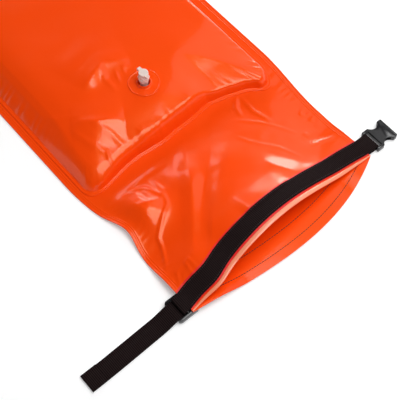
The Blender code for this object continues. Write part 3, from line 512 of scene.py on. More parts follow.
# The lip hem is the same orange film as the bag, painted paler and pinker for the highlight its rolled edge
# catches.
LIP = film_look("lip_film", (0.96, 0.26, 0.13), (1.0, 0.36, 0.22), 0.22, 0.26)
TAPE = cloth_look("red_tape", (0.75, 0.008, 0.005), (0.95, 0.020, 0.012), 0.45)
WEB = webbing_look("black_webbing", (0.0005, 0.0003, 0.0003), (0.024, 0.013, 0.013))
THREAD = cloth_look("black_thread", (0.010, 0.008, 0.008), (0.03, 0.02, 0.02), 0.55)
GREY_THREAD = cloth_look("grey_thread", (0.05, 0.045, 0.045), (0.12, 0.11, 0.105), 0.6)
PLASTIC = moulded_look("buckle_plastic", (0.008, 0.008, 0.009), (0.018, 0.017, 0.019), 0.10, 0.17)
RING = moulded_look("ring_plastic", (0.014, 0.014, 0.015), (0.028, 0.028, 0.030), 0.30, 0.42)
VINYL = film_look("valve_vinyl", (0.94, 0.64, 0.54), (1.0, 0.94, 0.90), 0.08, 0.20, Transmission_Weight=0.25)

# Rear panel; the seams of its stiffener are stitched further down
ROWS_NEAR = spread((0, 0.012, 0.0012), (0.012, 0.160, 0.0020), (0.160, 0.230, 0.0040))
ROWS_FAR = np.linspace(0.230, FAR_END_Y - REAR_LIP_Y, 60)
EDGE_COLUMNS = np.linspace(0.90, 1, 29)
COLUMNS = np.concatenate([-EDGE_COLUMNS[::-1], np.linspace(-0.90, 0.90, 190)[1:-1], EDGE_COLUMNS])


def rear_grid(offset):
    """The rear panel's points, this far over its underside."""
    depth, s = np.meshgrid(np.concatenate([ROWS_NEAR[:-1], ROWS_FAR]), COLUMNS[::2], indexing="ij")
    return rear_point(depth, s, offset)


rear_film = sheet_solid("rear_film", rear_grid(0.0), rear_grid(REAR_FILM), FILM)
ridden(rear_film, "bag", "orange_film", "rear_panel")

# Front panel
FRONT_ROWS = np.concatenate(
    [
        spread((0, 0.010, 0.0010), (0.010, 0.040, 0.0030), (0.040, 0.200, 0.0016)),
        np.linspace(0.205, FAR_END_Y - FRONT_LIP_Y, 70),
    ]
)


def weld_lines(s, y):
    """The side seam's two raised lines, and the sunk flange outside them."""
    out = (np.abs(s) - SEAM_SHARE) * half_width(y)
    lines = 0.00035 * (bell(out / 0.0006) + bell((out - 0.0025) / 0.0006))
    edge = 0.00045 * bell(((1 - np.abs(s)) * half_width(y) - 0.0009) / 0.0008)
    return lines + edge - 0.00015 * smooth(out / 0.001)


def front_grid(offset, seams):
    """The front panel's points, this far over its underside, with or without its seams."""
    depth, s = np.meshgrid(FRONT_ROWS, COLUMNS, indexing="ij")
    points = front_point(depth, s, offset)
    if seams:
        points[..., 2] += weld_lines(s, points[..., 1]) * smooth((depth - 0.036) / 0.004)
    return points


front_film = sheet_solid("front_film", front_grid(0.0, False), front_grid(FRONT_FILM, True), FILM)
ridden(front_film, "bag", "orange_film", "front_panel")


# Strips on the front lip
def strip_grid(depths, offset):
    """Points of a strip along the front lip."""
    depth, s = np.meshgrid(depths, COLUMNS, indexing="ij")
    return front_point(depth, s, offset)


hem_depths = np.linspace(0.0002, HEM_WIDTH - 0.0002, 9)
hem_round = np.sin(np.linspace(0, math.pi, 9)) ** 0.5 * 0.0007
hem_top = strip_grid(hem_depths, ON_FRONT)
hem_top[..., 2] += (0.0003 + hem_round)[:, None]
# The hem's paler colour is painted highlight.
lip_edge = sheet_solid("lip_edge", strip_grid(hem_depths, ON_FRONT), hem_top, LIP)
ridden(lip_edge, "bag", "lip_film", "lip_hem")


def tape_grid(offset):
    """Points of the tape, which shows more beside the webbing's left and middle parts."""
    share, s = np.meshgrid(np.linspace(0, 1, 14), COLUMNS, indexing="ij")
    wide = 0.0012 + 0.0014 * smooth((s + 0.80) / 0.15) * smooth((0.45 - s) / 0.35)
    start = WEBBING_INSET - wide
    end = WEBBING_INSET + WEBBING_WIDTH + 0.0026
    return front_point(start + (end - start) * share, s, offset)


tape = sheet_solid("mouth_tape", tape_grid(ON_FRONT), tape_grid(ON_FRONT + TRIM), TAPE)
ridden(tape, "bag", "trim_tape", "trim_tape")


# Webbing: a strap along a grid of centre points, with woven ribs across it
def arc(centre, radius, start, end, steps):
    """Points on an arc in a plane, from start to end in degrees."""
    turns = np.radians(np.linspace(start, end, steps + 1))
    return [(centre[0] + radius * math.cos(a), centre[1] + radius * math.sin(a)) for a in turns]


def fine_path(grid, step, across):
    """The grid resampled to even steps along the strap and to this many points across it."""
    middle = grid[:, grid.shape[1] // 2]
    run = np.concatenate([[0], np.cumsum(np.linalg.norm(np.diff(middle, axis=0), axis=1))])
    at = np.linspace(0, run[-1], max(2, round(run[-1] / step)) + 1)
    share = np.linspace(0, 1, grid.shape[1])
    wide = np.linspace(0, 1, across)
    rows = np.empty((len(at), grid.shape[1], 3))
    for k in range(grid.shape[1]):
        for axis in range(3):
            rows[:, k, axis] = np.interp(at, run, grid[:, k, axis])
    fine = np.empty((len(at), across, 3))
    for axis in range(3):
        fine[..., axis] = np.array([np.interp(wide, share, row) for row in rows[..., axis]])
    return fine, at


def softened(grid, rounds):
    """The grid with its rows evened out this many times, and its ends kept."""
    for _ in range(rounds):
        inner = (grid[:-2] + 2 * grid[1:-1] + grid[2:]) / 4
        grid = np.concatenate([grid[:1], inner, grid[-1:]])
    return grid


def strap_normals(grid):
    """Directions square to the strap, one for each point."""
    lengthwise = np.gradient(grid, axis=0)
    crosswise = np.gradient(grid, axis=1)
    normal = np.cross(lengthwise, crosswise)
    return normal / np.linalg.norm(normal, axis=-1, keepdims=True)


def woven_strap(name, grid, look, up, rib_height=0.00014):
    """A woven strap along a grid of centre points. up is 1 or -1, for the grid's upper side."""
    across = 13
    fine, at = fine_path(grid, RIB / 4, across)
    fine = softened(fine, 3)
    normal = strap_normals(fine) * up
    edge = 1 - 0.35 * np.abs(np.linspace(-1, 1, across)) ** 8
    ribs = rib_height * np.cos(at / RIB * 2 * math.pi)[:, None] * (edge > 0.8)
    alternate = np.cos(np.arange(across) * math.pi)[None]
    ribs = ribs + rib_height * 0.5 * alternate * np.sin(at / RIB * math.pi)[:, None]
    half = (WEBBING / 2 - rib_height) * edge[None] + ribs
    weave = np.stack(np.broadcast_arrays(np.linspace(0, WEBBING_WIDTH, across)[None], at[:, None]), -1)
    low, high = fine - normal * half[..., None], fine + normal * half[..., None]
    return sheet_solid(name, low, high, look, 60, weave)


def level_section(x, z, y0, y1):
    """Five points across a strap, level at this x and z."""
    return [(x, y, z) for y in np.linspace(y0, y1, 5)]


def sewn_sections(shares):
    """The webbing's sections where it is sewn on the front lip."""
    depths = np.linspace(WEBBING_INSET, WEBBING_INSET + WEBBING_WIDTH, 5)
    depth, s = np.meshgrid(depths, shares, indexing="ij")
    return front_point(depth, s, ON_TAPE + WEBBING / 2).transpose(1, 0, 2)


BUCKLE_MID = 0.0046
SOCKET_BAR_X = 0.1775
LOOP_RADIUS = 0.0016 + GAP + WEBBING / 2
fold_top = FOLD_Z + FOLD_RADIUS
left_path = arc((FOLD_X, FOLD_Z), FOLD_RADIUS, 270, 90, 14) + [((FOLD_X - MOUTH_HALF_WIDTH) / 2, fold_top)]
half_web = WEBBING_WIDTH / 2
left_grid = np.array([level_section(x, z, PLUG_Y - half_web, PLUG_Y + half_web) for x, z in left_path])
RIGHT_TOP = RIGHT_CORNER_Z + REAR_FILM + GAP + CORNER_SLACK + ON_TAPE + WEBBING / 2
UNDER_CORNER = RIGHT_CORNER_Z - GAP - WEBBING / 2
right_path = [((MOUTH_HALF_WIDTH + SOCKET_BAR_X) / 2, (RIGHT_TOP + BUCKLE_MID + LOOP_RADIUS) / 2)]
right_path += arc((SOCKET_BAR_X, BUCKLE_MID), LOOP_RADIUS, 90, -90, 14)
right_path += [(0.1620, UNDER_CORNER), (0.1460, UNDER_CORNER)]
right_grid = np.array([level_section(x, z, SOCKET_Y - half_web, SOCKET_Y + half_web) for x, z in right_path])
sewn = sewn_sections(np.linspace(-1, 1, 120))
webbing = woven_strap("webbing_strap", np.concatenate([left_grid, sewn, right_grid]), WEB, -1)
ridden(webbing, "bag", "black_webbing", "mouth_webbing")

# The strap beyond the fold: down through the plug's ladder frame, over its tab and out on the table
PLUG_BACK_X = -0.180
PLUG_BAR_X, PLUG_BAR_Z, PLUG_BAR_RADIUS = PLUG_BACK_X + 0.0133, 0.0049, 0.0013
PLUG_SLOT_END_X = PLUG_BACK_X + 0.0172
TAIL_START_X = FOLD_X + 0.0028
TAIL_END_X = FOLD_X - 0.1420
TAIL_OVER_TAB = 0.0058 + GAP + WEBBING / 2
TAIL_ON_TABLE = 0.0003 + WEBBING / 2
BAR_TURN = PLUG_BAR_RADIUS + GAP + WEBBING / 2
TAB_TURN = TAIL_OVER_TAB - PLUG_BAR_Z
FALL_X = PLUG_BACK_X + 0.0035


def tail_points():
    """The tail seen from the side: round the plug's bar, over its tab and along the table."""
    in_slot_x = (PLUG_BAR_X + PLUG_BAR_RADIUS + PLUG_SLOT_END_X) / 2
    points = [(TAIL_START_X, 0.0080), (in_slot_x, PLUG_BAR_Z + 0.0017)]
    points += arc((PLUG_BAR_X, PLUG_BAR_Z), BAR_TURN, 0, -180, 12)
    points += arc((PLUG_BAR_X - BAR_TURN - TAB_TURN, PLUG_BAR_Z), TAB_TURN, 0, 90, 6)[1:]
    for share in np.linspace(0, 1, 14):
        left = float(smooth(1 - share)) ** 1.6
        points.append((FALL_X - 0.0315 * share, TAIL_ON_TABLE + (TAIL_OVER_TAB - TAIL_ON_TABLE) * left))
    points += [(TAIL_END_X + 0.1420 * share, TAIL_ON_TABLE) for share in (0.6, 0.42, 0.25, 0.12, 0.0)]
    return points


def tail_section(x, z):
    """The tail's section at this x and z, moved up to 3.5 mm towards -Y at its end."""
    swing = 0.0035 * float(smooth((TAIL_START_X - x) / (TAIL_START_X - TAIL_END_X)))
    return level_section(x, z, PLUG_Y - swing - half_web, PLUG_Y - swing + half_web)


tail_grid = np.array([tail_section(x, z) for x, z in tail_points()])
tail = woven_strap("tail_webbing", tail_grid, WEB, 1, rib_height=0.00020)
ridden(tail, "strap_end", "black_webbing", "tail_strap")
hem_z = TAIL_ON_TABLE + WEBBING + GAP
hem_grid = np.array([tail_section(x, hem_z) for x in np.linspace(TAIL_END_X + 0.022, TAIL_END_X, 8)])
tail_end = woven_strap("tail_end_fold", hem_grid, WEB, 1, rib_height=0.00020)
ridden(tail_end, "strap_end", "black_webbing", "tail_hem")


# Stiffener under the rear lip
def stiffener_grid(offset):
    """The stiffener's points, this far over the rear panel's underside."""
    depth, s = np.meshgrid(np.linspace(0.010, 0.035, 13), np.linspace(-0.78, 0.78, 160), indexing="ij")
    return rear_point(depth, s, offset)


stiffener = sheet_solid("stiffener_band", stiffener_grid(-GAP - WEBBING), stiffener_grid(-GAP), WEB)
ridden(stiffener, "bag", "black_webbing", "rear_stiffener")


# Stitches, each one a short rounded thread
def stitches(name, seams, radius, look, body, slot):
    """One piece with a short rounded thread for each (start, end, up)."""
    points, faces = [], []
    rings = [(-1.0, 0.35), (-0.72, 0.9), (0.0, 1.0), (0.72, 0.9), (1.0, 0.35)]
    sides = 6
    for here, there, up in seams:
        here, there = np.array(here), np.array(there)
        middle, half = (here + there) / 2, (there - here) / 2
        lengthwise = half / np.linalg.norm(half)
        side = np.cross(lengthwise, up)
        side /= np.linalg.norm(side)
        above = np.cross(side, lengthwise)
        start = len(points)
        for share, wide in rings:
            lift = above * radius * 0.9 * (1 - share * share)
            for k in range(sides):
                turn = 2 * math.pi * k / sides
                out = (side * math.cos(turn) + above * math.sin(turn)) * radius * wide
                points.append(middle + half * share + out + lift)
        for r in range(len(rings) - 1):
            for k in range(sides):
                a, b = start + r * sides + k, start + r * sides + (k + 1) % sides
                faces.append((a, b, b + sides, a + sides))
        faces.append(tuple(start + k for k in reversed(range(sides))))
        faces.append(tuple(start + (len(rings) - 1) * sides + k for k in range(sides)))
    return ridden(mesh_piece(name, points, faces, look, 70), body, slot)


def seam(line, long, pause, up=(0, 0, 1)):
    """Stitches of this length along a line of points, with a pause after each."""
    line = np.asarray(line)
    run = np.concatenate([[0], np.cumsum(np.linalg.norm(np.diff(line, axis=0), axis=1))])
    starts = np.arange(pause, run[-1] - long, long + pause)
    found = []
    for start in starts:
        ends = [[np.interp(at, run, line[:, k]) for k in range(3)] for at in (start, start + long)]
        found.append((*ends, up))
    return found


shares = np.linspace(-0.985, 0.985, 400)
rear_seams = []
for depth in (0.0125, 0.0325):
    rear_seams += seam(rear_point(np.full_like(shares, depth), shares, REAR_FILM + 0.00005), 0.0034, 0.0006)
stitches("rear_seams", rear_seams, 0.00040, THREAD, "bag", "black_webbing")
web_seams = []
for depth in (WEBBING_INSET + 0.0022, WEBBING_INSET + WEBBING_WIDTH - 0.0022):
    web_seams += seam(front_point(np.full_like(shares, depth), shares, ON_TAPE + WEBBING), 0.0026, 0.0010)
stitches("webbing_seams", web_seams, 0.00026, THREAD, "bag", "black_webbing")

# Chamber: rings from its weld to its crown
CHAMBER_WAVE = np.array(
    [
        (-0.160, -0.0120), (-0.151, -0.0125), (-0.140, -0.0083), (-0.126, -0.0070), (-0.113, -0.0036),
        (-0.090, 0.0012), (-0.068, 0.0028), (-0.0485, 0.0006), (-0.028, -0.0008), (-0.004, 0.0015),
        (0.022, 0.0028), (0.0556, 0.0068), (0.0836, -0.0003), (0.110, -0.0098), (0.119, -0.0153),
        (0.128, -0.0225), (0.140, -0.0235), (0.150, -0.0200), (0.156, -0.0100),
    ]
)  # fmt: skip
CORNER = 0.024
CHAMBER_MID_Y = (CHAMBER_NEAR_Y + CHAMBER_FAR_Y) / 2
CHAMBER_HALF_LENGTH = (CHAMBER_FAR_Y - CHAMBER_NEAR_Y) / 2
CROWN = 0.0270


def chamber_outline(depth):
    """Points round the chamber's rounded rectangle, moved in by depth."""
    half_x, half_y = CHAMBER_HALF_WIDTH - depth, CHAMBER_HALF_LENGTH - depth
    radius = min(max(CORNER - depth / 2, CORNER / 4), half_x)
    corners = [(half_x - radius, -half_y + radius, -90), (half_x - radius, half_y - radius, 0)]
    corners += [(-half_x + radius, half_y - radius, 90), (-half_x + radius, -half_y + radius, 180)]
    ring = []
    for x, y, start in corners:
        ring += arc((x, y), radius, start, start + 90, 10)
    return np.array(ring + ring[:1])


def chamber_rings(depths, count):
    """Rings of points, each with the same shares of the way round."""
    full = chamber_outline(0.0)
    run = np.concatenate([[0], np.cumsum(np.hypot(*np.diff(full, axis=0).T))])
    at = np.linspace(0, run[-1], count, endpoint=False)
    rings = []
    for depth in depths:
        ring = chamber_outline(depth)
        rings.append(np.stack([np.interp(at, run, ring[:, 0]), np.interp(at, run, ring[:, 1])], -1))
    return np.array(rings)


DEPTHS = np.concatenate(
    [
        np.arange(0, 0.0072, 0.0006),
        np.arange(0.0072, 0.034, 0.0013),
        np.arange(0.034, 0.152, 0.0024),
        [0.1555],
    ]
)
RING_COUNT = 760
rings = chamber_rings(DEPTHS, RING_COUNT)
cx, cy = rings[..., 0], rings[..., 1] + CHAMBER_MID_Y
depth_of = np.repeat(DEPTHS[:, None], RING_COUNT, 1)
near_share = 1 - smooth((cy - CHAMBER_NEAR_Y) / 0.110)
wave = np.interp(cx, CHAMBER_WAVE[:, 0], CHAMBER_WAVE[:, 1]) * near_share
near_end = 1 - smooth((cy - CHAMBER_NEAR_Y - 0.04) / 0.08)
weak = smooth((cx - 0.030) / 0.045) * near_end
left_side = smooth((-cx - 0.10) / 0.04) * (1 - near_end * 0.7)
roll_share = 0.80 - 0.39 * weak - 0.30 * left_side - 0.16 * smooth((-0.045 - cx) / 0.03) * near_end
inside = np.maximum(depth_of - 0.0048, 0)
roll = 1 - (1 - np.clip(inside / (0.0145 - 0.0070 * weak + 0.020 * left_side), 0, 1)) ** 2
crown = 1 - (1 - np.clip(inside / (0.085 + 0.045 * weak), 0, 1)) ** (1.7 - 0.3 * weak)
height = CROWN * (roll_share * roll + (1 - roll_share) * crown)
dip = np.hypot(cx - VALVE_X, cy - VALVE_Y)
crease = folds(cx, cy, CHAMBER_FOLDS) * smooth((depth_of - 0.006) / 0.006)
waves = 0.0009 * ripples(cx, cy, 0.130, 11) + 0.0002 * ripples(cx, cy, 0.045, 12)
round_share = np.arange(RING_COUNT) * 0.93
pucker = np.sin(round_share + 2.6 * np.sin(round_share * 0.13) + 1.3 * np.sin(round_share * 0.41))[None]
pucker = 0.0005 * pucker * (0.5 + 0.5 * np.sin(cx * 37 + cy * 29)) * bell((depth_of - 0.013) / 0.008)
away_from_valve = smooth((dip - 0.014) / 0.020)
height += (crease + waves * smooth((depth_of - 0.010) / 0.030)) * away_from_valve + pucker
height = np.maximum(height, 0.0)
valve_reach = 0.036 - 0.018 * smooth((cy - VALVE_Y + 0.02) / 0.04)
at_valve = smooth((0.024 + valve_reach - dip) / valve_reach)
height = height * (1 - at_valve) + CROWN * at_valve
lines = 0.00022 * (bell((depth_of - 0.0012) / 0.0006) + bell((depth_of - 0.0042) / 0.0007))
side_shift = np.where(cx < 0, -0.0035, -0.0015)
weld_x = cx + side_shift * (1 - smooth(depth_of / 0.06)) * smooth((np.abs(cx) - 0.10) / 0.05)
overhang = 0.0035 * bell((depth_of - 0.011) / 0.006) * near_share * smooth((-0.02 - cx) / 0.05)
weld_y = cy + wave - overhang
share = np.clip(weld_x / half_width(weld_y), -1, 1)
ground = np.maximum(front_height(share, weld_y) + FRONT_FILM + GAP, CHAMBER_FLOOR)
FILM_THICK = 0.0007
level = ground * (1 - roll) + CHAMBER_FLOOR * roll + height + lines + FILM_THICK
chamber_points = np.stack([weld_x, weld_y, level], -1)
n = RING_COUNT


def ring_faces(start, count, flip):
    """Quads between this many rings of points, which follow each other from the start on."""
    found = []
    for r in range(count - 1):
        a = start + r * n + np.arange(n)
        b = start + r * n + (np.arange(n) + 1) % n
        found += np.stack([b, a, a + n, b + n] if flip else [a, b, b + n, a + n], -1).tolist()
    return found


# The underside lies on the front panel, which rises towards the mouth
UNDER_RINGS = [0, 8, 16, 26, 40, 60, len(DEPTHS) - 1]
under = chamber_points[UNDER_RINGS].copy()
under[..., 2] = ground[UNDER_RINGS] - 0.0001
last, first = (len(DEPTHS) - 1) * n, len(DEPTHS) * n
faces = ring_faces(0, len(DEPTHS), False)
faces.append([last + k for k in range(n)])
faces += [[k, first + k, first + (k + 1) % n, (k + 1) % n] for k in range(n)]
faces += ring_faces(first, len(under), True)
faces.append([first + (len(under) - 1) * n + k for k in reversed(range(n))])
skin_points = np.concatenate([chamber_points.reshape(-1, 3), under.reshape(-1, 3)])
chamber = mesh_piece("chamber_skin", skin_points, faces, FILM)

# The hole for the valve's stem, deep enough for the flap under it
HOLE_RADIUS = 0.0084
HOLE_LOW, HOLE_HIGH, HOLE_SIDES = 0.0040, 0.0600, 64
bore_points = [
    (VALVE_X + HOLE_RADIUS * math.cos(a), VALVE_Y + HOLE_RADIUS * math.sin(a), z)
    for z in (HOLE_LOW, HOLE_HIGH)
    for a in np.linspace(0, 2 * math.pi, HOLE_SIDES, endpoint=False)
]
next_side = [(k + 1) % HOLE_SIDES for k in range(HOLE_SIDES)]
bore_faces = [(k, there, there + HOLE_SIDES, k + HOLE_SIDES) for k, there in enumerate(next_side)]
bore_faces += [tuple(reversed(range(HOLE_SIDES))), tuple(range(HOLE_SIDES, 2 * HOLE_SIDES))]
bore = mesh_piece("bore", bore_points, bore_faces, FILM)
cut = chamber.modifiers.new("bore", "BOOLEAN")
cut.object, cut.operation, cut.solver = bore, "DIFFERENCE", "EXACT"
bpy.context.view_layer.update()
cut_mesh = bpy.data.meshes.new_from_object(chamber.evaluated_get(bpy.context.evaluated_depsgraph_get()))
chamber.modifiers.clear()
chamber.data = cut_mesh
bpy.data.objects.remove(bore)
ridden(chamber, "bag", "orange_film", "chamber_film")


# Valve: a welded flange with a soft collar, a crumpled stem, and its stopper
def turned(name, profile, look, dents):
    """A closed ring of (radius, height) points turned round the valve's axis. dents moves the points."""
    sides = 96
    turn = np.linspace(0, 2 * math.pi, sides, endpoint=False)
    radius, z = np.array(profile).T
    r, a = np.meshgrid(radius, turn, indexing="ij")
    h = np.repeat(z[:, None], sides, 1)
    r, h = dents(r, h, a)
    points = np.stack([VALVE_X + r * np.cos(a), VALVE_Y + r * np.sin(a), h], -1)
    faces = []
    count = len(profile)
    for i in range(count):
        here, there = i * sides + np.arange(sides), (i + 1) % count * sides + np.arange(sides)
        faces += np.stack([here, np.roll(here, -1), np.roll(there, -1), there], -1).tolist()
    return mesh_piece(name, points, faces, look, 60)


def fine_profile(profile, step=0.0005):
    """The same closed profile with more points on its long sides."""
    ring = profile + profile[:1]
    fine = []
    for a, b in zip(ring[:-1], ring[1:]):
        count = max(1, math.ceil(math.dist(a, b) / step))
        fine += [(a[0] + (b[0] - a[0]) * k / count, a[1] + (b[1] - a[1]) * k / count) for k in range(count)]
    return fine


SKIN_TOP = 0.0298
FLANGE_TOP = SKIN_TOP + 0.0009
STEM_TOP = 0.0519
flange_profile = [
    (HOLE_RADIUS, SKIN_TOP + 0.0003), (0.0216, SKIN_TOP + 0.0003), (0.0219, SKIN_TOP + 0.0006),
    (0.0216, FLANGE_TOP + 0.0002), (0.0208, FLANGE_TOP + 0.0003), (0.0198, FLANGE_TOP), (0.0150, FLANGE_TOP),
    (0.0122, FLANGE_TOP - 0.0001), (0.0108, FLANGE_TOP), (0.0099, FLANGE_TOP + 0.0012),
    (0.0095, FLANGE_TOP + 0.0030), (0.0090, FLANGE_TOP + 0.0037), (HOLE_RADIUS, FLANGE_TOP + 0.0032),
]  # fmt: skip


def flange_dents(r, h, a):
    """Ruffles the flange outside its collar."""
    outer = smooth((r - 0.0105) / 0.006) * smooth((0.0226 - r) / 0.002)
    ruffle = 0.00022 * np.sin(5 * a + 0.8) + 0.00010 * np.sin(11 * a + 1.0)
    wavy = r + 0.0004 * np.sin(3 * a + 0.6) * smooth((r - 0.012) / 0.008)
    return wavy, h + ruffle * outer * (h > SKIN_TOP + 0.0005)


flange = turned("valve_flange", fine_profile(flange_profile), FILM, flange_dents)
ridden(flange, "bag", "valve_vinyl", "valve_base")
stem_profile = [
    (0.0034, STEM_TOP), (0.0034, 0.0240), (0.0056, 0.0240), (0.0058, 0.0340), (0.0066, 0.0365),
    (0.0077, 0.0400), (0.0080, 0.0430), (0.0076, 0.0465), (0.0067, 0.0495), (0.0062, 0.0512),
    (0.0056, STEM_TOP),
]  # fmt: skip


def stem_dents(r, h, a):
    """Crumples the stem between its collar and its rim."""
    free = smooth((h - 0.0345) / 0.004) * smooth((STEM_TOP - 0.0004 - h) / 0.003) * (r > 0.0045)
    fold = np.abs(np.sin(2.5 * a + 620 * (h - 0.035) + 1.2 * np.sin(3 * a)))
    fold = 0.5 - fold + 0.35 * np.sin(4 * a - 900 * h) + 0.2 * np.sin(9 * a + 1300 * h)
    return r + free * (0.00075 * fold - 0.0004), h + free * 0.0003 * np.sin(3 * a + 700 * h)


stem = turned("valve_stem_skin", fine_profile(stem_profile), VINYL, stem_dents)
ridden(stem, "stem", "valve_vinyl", "valve_stem")

# CAD nodes that show as they are, with a look of their own
own_looks = {"valve_plug": VINYL, "valve_flap": VINYL, "leash_ring": RING, "anchor_patch": FILM}
for name, look in own_looks.items():
    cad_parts[name].data.materials.clear()
    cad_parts[name].data.materials.append(look)


# Buckle
def rounded(node, name, look, body, slot, radius):
    """A copy of a moulded CAD node with its edges rounded."""
    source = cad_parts[node]
    shape = bmesh.new()
    shape.from_mesh(source.data)
    shape.transform(source.matrix_world)
    bmesh.ops.remove_doubles(shape, verts=shape.verts, dist=1e-6)
    bmesh.ops.dissolve_limit(shape, angle_limit=math.radians(0.5), verts=shape.verts, edges=shape.edges)
    edges = [e for e in shape.edges if len(e.link_faces) == 2 and e.calc_face_angle() > math.radians(35)]
    bmesh.ops.bevel(
        shape, geom=edges, offset=radius, segments=2, profile=0.5, affect="EDGES", clamp_overlap=True
    )
    bmesh.ops.triangulate(shape, faces=shape.faces)
    mesh = bpy.data.meshes.new(name)
    shape.to_mesh(mesh)
    shape.free()
    mesh.shade_smooth()
    mesh.set_sharp_from_angle(angle=math.radians(40))
    mesh.materials.append(look)
    made = bpy.data.objects.new(name, mesh)
    product.objects.link(made)
    return ridden(made, body, slot, node)


rounded("buckle_socket", "socket_shell", PLASTIC, "socket", "buckle_plastic", 0.0004)
rounded("buckle_plug", "plug_frame", PLASTIC, "strap_end", "buckle_plastic", 0.0003)
rounded("latch_arm_near", "near_latch", PLASTIC, "latch_near", "buckle_plastic", 0.0003)
rounded("latch_arm_far", "far_latch", PLASTIC, "latch_far", "buckle_plastic", 0.0003)

# The leash anchor's strap, looped round the ring's bar
TAB_NEAR_Y, TAB_JOIN_Y = FAR_END_Y - 0.0220, FAR_END_Y - 0.0060
RING_BAR_Y, RING_BAR_Z, RING_ROD = FAR_END_Y + 0.0065, 0.0072, 0.0019
tab_low = REAR_FILM + FRONT_FILM + 3 * GAP + PATCH + WEBBING / 2
tab_high = tab_low + WEBBING + GAP
tab_path = [(TAB_NEAR_Y, tab_low), (TAB_JOIN_Y, tab_low)]
tab_path += arc((RING_BAR_Y, RING_BAR_Z), RING_ROD + GAP + WEBBING / 2, -100, 100, 14)
tab_path += [(TAB_JOIN_Y + WEBBING, tab_high), (TAB_NEAR_Y, tab_high)]
tab_grid = np.array([[(x, y, z) for x in np.linspace(-half_web, half_web, 5)] for y, z in tab_path])
ridden(woven_strap("anchor_strap", tab_grid, WEB, -1), "bag", "black_webbing", "anchor_tab")
tab_seams = []
box_half, top = 0.0098, tab_high + WEBBING / 2 + 0.0001
near, far = TAB_NEAR_Y + 0.0025, TAB_JOIN_Y - 0.0010
box = [(-box_half, near, top), (box_half, near, top), (box_half, far, top), (-box_half, far, top)]
for a, b in [*zip(box, box[1:] + box[:1]), (box[0], box[2]), (box[1], box[3])]:
    tab_seams += seam([a, b], 0.0024, 0.0008)
stitches("anchor_seams", tab_seams, 0.00026, GREY_THREAD, "bag", "black_webbing")

# Camera, as the photograph has it
camera_data = bpy.data.cameras.new("camera")
camera_data.lens = 91.35
camera_data.sensor_width = 36
camera_data.clip_end = 60
camera = bpy.data.objects.new("camera", camera_data)
bpy.context.scene.collection.objects.link(camera)
azimuth, elevation = math.radians(-40.2), math.radians(60)
flat = math.cos(elevation)
back = Vector((math.sin(azimuth) * flat, -math.cos(azimuth) * flat, math.sin(elevation)))
camera.location = (-0.46977, -0.74317, 1.12583)
camera.rotation_mode = "QUATERNION"
camera.rotation_quaternion = (-back).to_track_quat("-Z", "Y")
bpy.context.scene.camera = camera


# Stage: a pale floor and a round backdrop, white to the camera and in reflections
def stage_look(name, colour, own_light, shown):
    """Diffuse, with own_light for every ray and more of it for camera, glossy and transmission rays."""
    made = bpy.data.materials.new(name)
    made.use_nodes = True
    tree = made.node_tree
    shader = tree.nodes["Principled BSDF"]
    shader.inputs["Base Color"].default_value = (colour, colour, colour, 1)
    shader.inputs["Roughness"].default_value = 1.0
    shader.inputs["Specular IOR Level"].default_value = 0.0
    shader.inputs["Emission Color"].default_value = (1, 1, 1, 1)
    path = tree.nodes.new("ShaderNodeLightPath")
    total = path.outputs["Is Camera Ray"]
    for other in ("Is Glossy Ray", "Is Transmission Ray"):
        add = tree.nodes.new("ShaderNodeMath")
        add.operation = "MAXIMUM"
        tree.links.new(total, add.inputs[0])
        tree.links.new(path.outputs[other], add.inputs[1])
        total = add.outputs[0]
    scale = tree.nodes.new("ShaderNodeMapRange")
    scale.inputs["To Min"].default_value = own_light
    scale.inputs["To Max"].default_value = shown
    tree.links.new(total, scale.inputs["Value"])
    tree.links.new(scale.outputs["Result"], shader.inputs["Emission Strength"])
    return made


def stage_piece(name, points, faces, look):
    """A piece of the floor or backdrop, which isn't part of the product, though it goes in the product's
    collection.
    """
    piece = mesh_piece(name, points, faces, look)


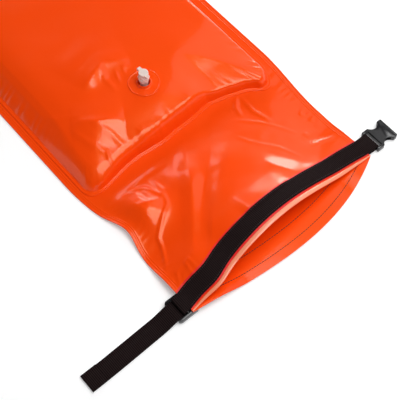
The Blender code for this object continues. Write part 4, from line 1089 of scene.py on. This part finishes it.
FLOOR_REACH, WALL_HEIGHT, SIDES = 5.0, 1.3, 64
turns = np.linspace(0, 2 * math.pi, SIDES, endpoint=False)
circle = np.stack([np.cos(turns) * FLOOR_REACH, np.sin(turns) * FLOOR_REACH], -1)
floor_points = [(x, y, -0.0004) for x, y in circle]
stage_piece("floor", floor_points, [tuple(range(SIDES))], stage_look("floor_paint", 0.80, 0.0, 0.30))
wall_points = [(x, y, z) for z in (-0.01, WALL_HEIGHT) for x, y in circle]
wall_faces = [(k, k + SIDES, (k + 1) % SIDES + SIDES, (k + 1) % SIDES) for k in range(SIDES)]
stage_piece("backdrop", wall_points, wall_faces, stage_look("backdrop_paint", 0.0, 1.0, 1.0))

# Light
world = bpy.data.worlds.new("studio")
world.use_nodes = True
world.node_tree.nodes["Background"].inputs["Color"].default_value = (1, 1, 1, 1)
world.node_tree.nodes["Background"].inputs["Strength"].default_value = 0.05
bpy.context.scene.world = world


def softbox(name, place, aim, size, radiance):
    """An area light of this radiance, with its size in metres across and up."""
    data = bpy.data.lights.new(name, "AREA")
    data.shape = "RECTANGLE"
    data.size, data.size_y = size
    data.energy = radiance * math.pi * size[0] * size[1]
    made = bpy.data.objects.new(name, data)
    made.location = place
    made.rotation_mode = "QUATERNION"
    made.rotation_quaternion = (Vector(aim) - Vector(place)).to_track_quat("-Z", "Y")
    made.visible_camera = False
    bpy.context.scene.collection.objects.link(made)


def from_bag(azimuth, elevation, distance):
    """A place in this direction from the mouth's side of the bag, in degrees and metres."""
    az, el = math.radians(azimuth), math.radians(elevation)
    flat = math.cos(el) * distance
    return (flat * math.cos(az), flat * math.sin(az) - 0.2, math.sin(el) * distance)


MIDDLE = (0.0, -0.2, 0.0)
softbox("key", from_bag(-55, 71, 1.75), MIDDLE, (1.3, 1.3), 5.1)
softbox("high", from_bag(22, 72, 1.9), MIDDLE, (0.5, 0.4), 3.0)
softbox("spot", from_bag(37.5, 13, 1.95), MIDDLE, (0.45, 0.30), 9.0)
softbox("band", from_bag(56, 20, 1.95), MIDDLE, (0.95, 0.20), 3.0)
softbox("halo", from_bag(38, 15, 1.97), MIDDLE, (0.70, 0.45), 1.6)
softbox("low", from_bag(80, 29, 1.95), MIDDLE, (0.45, 0.30), 3.4)
softbox("far", from_bag(60, 11, 2.1), MIDDLE, (0.60, 0.35), 6.0)
softbox("right", from_bag(14, 42, 2.1), MIDDLE, (1.3, 1.4), 0.95)

scene_view = bpy.context.scene.view_settings
scene_view.view_transform = "Standard"
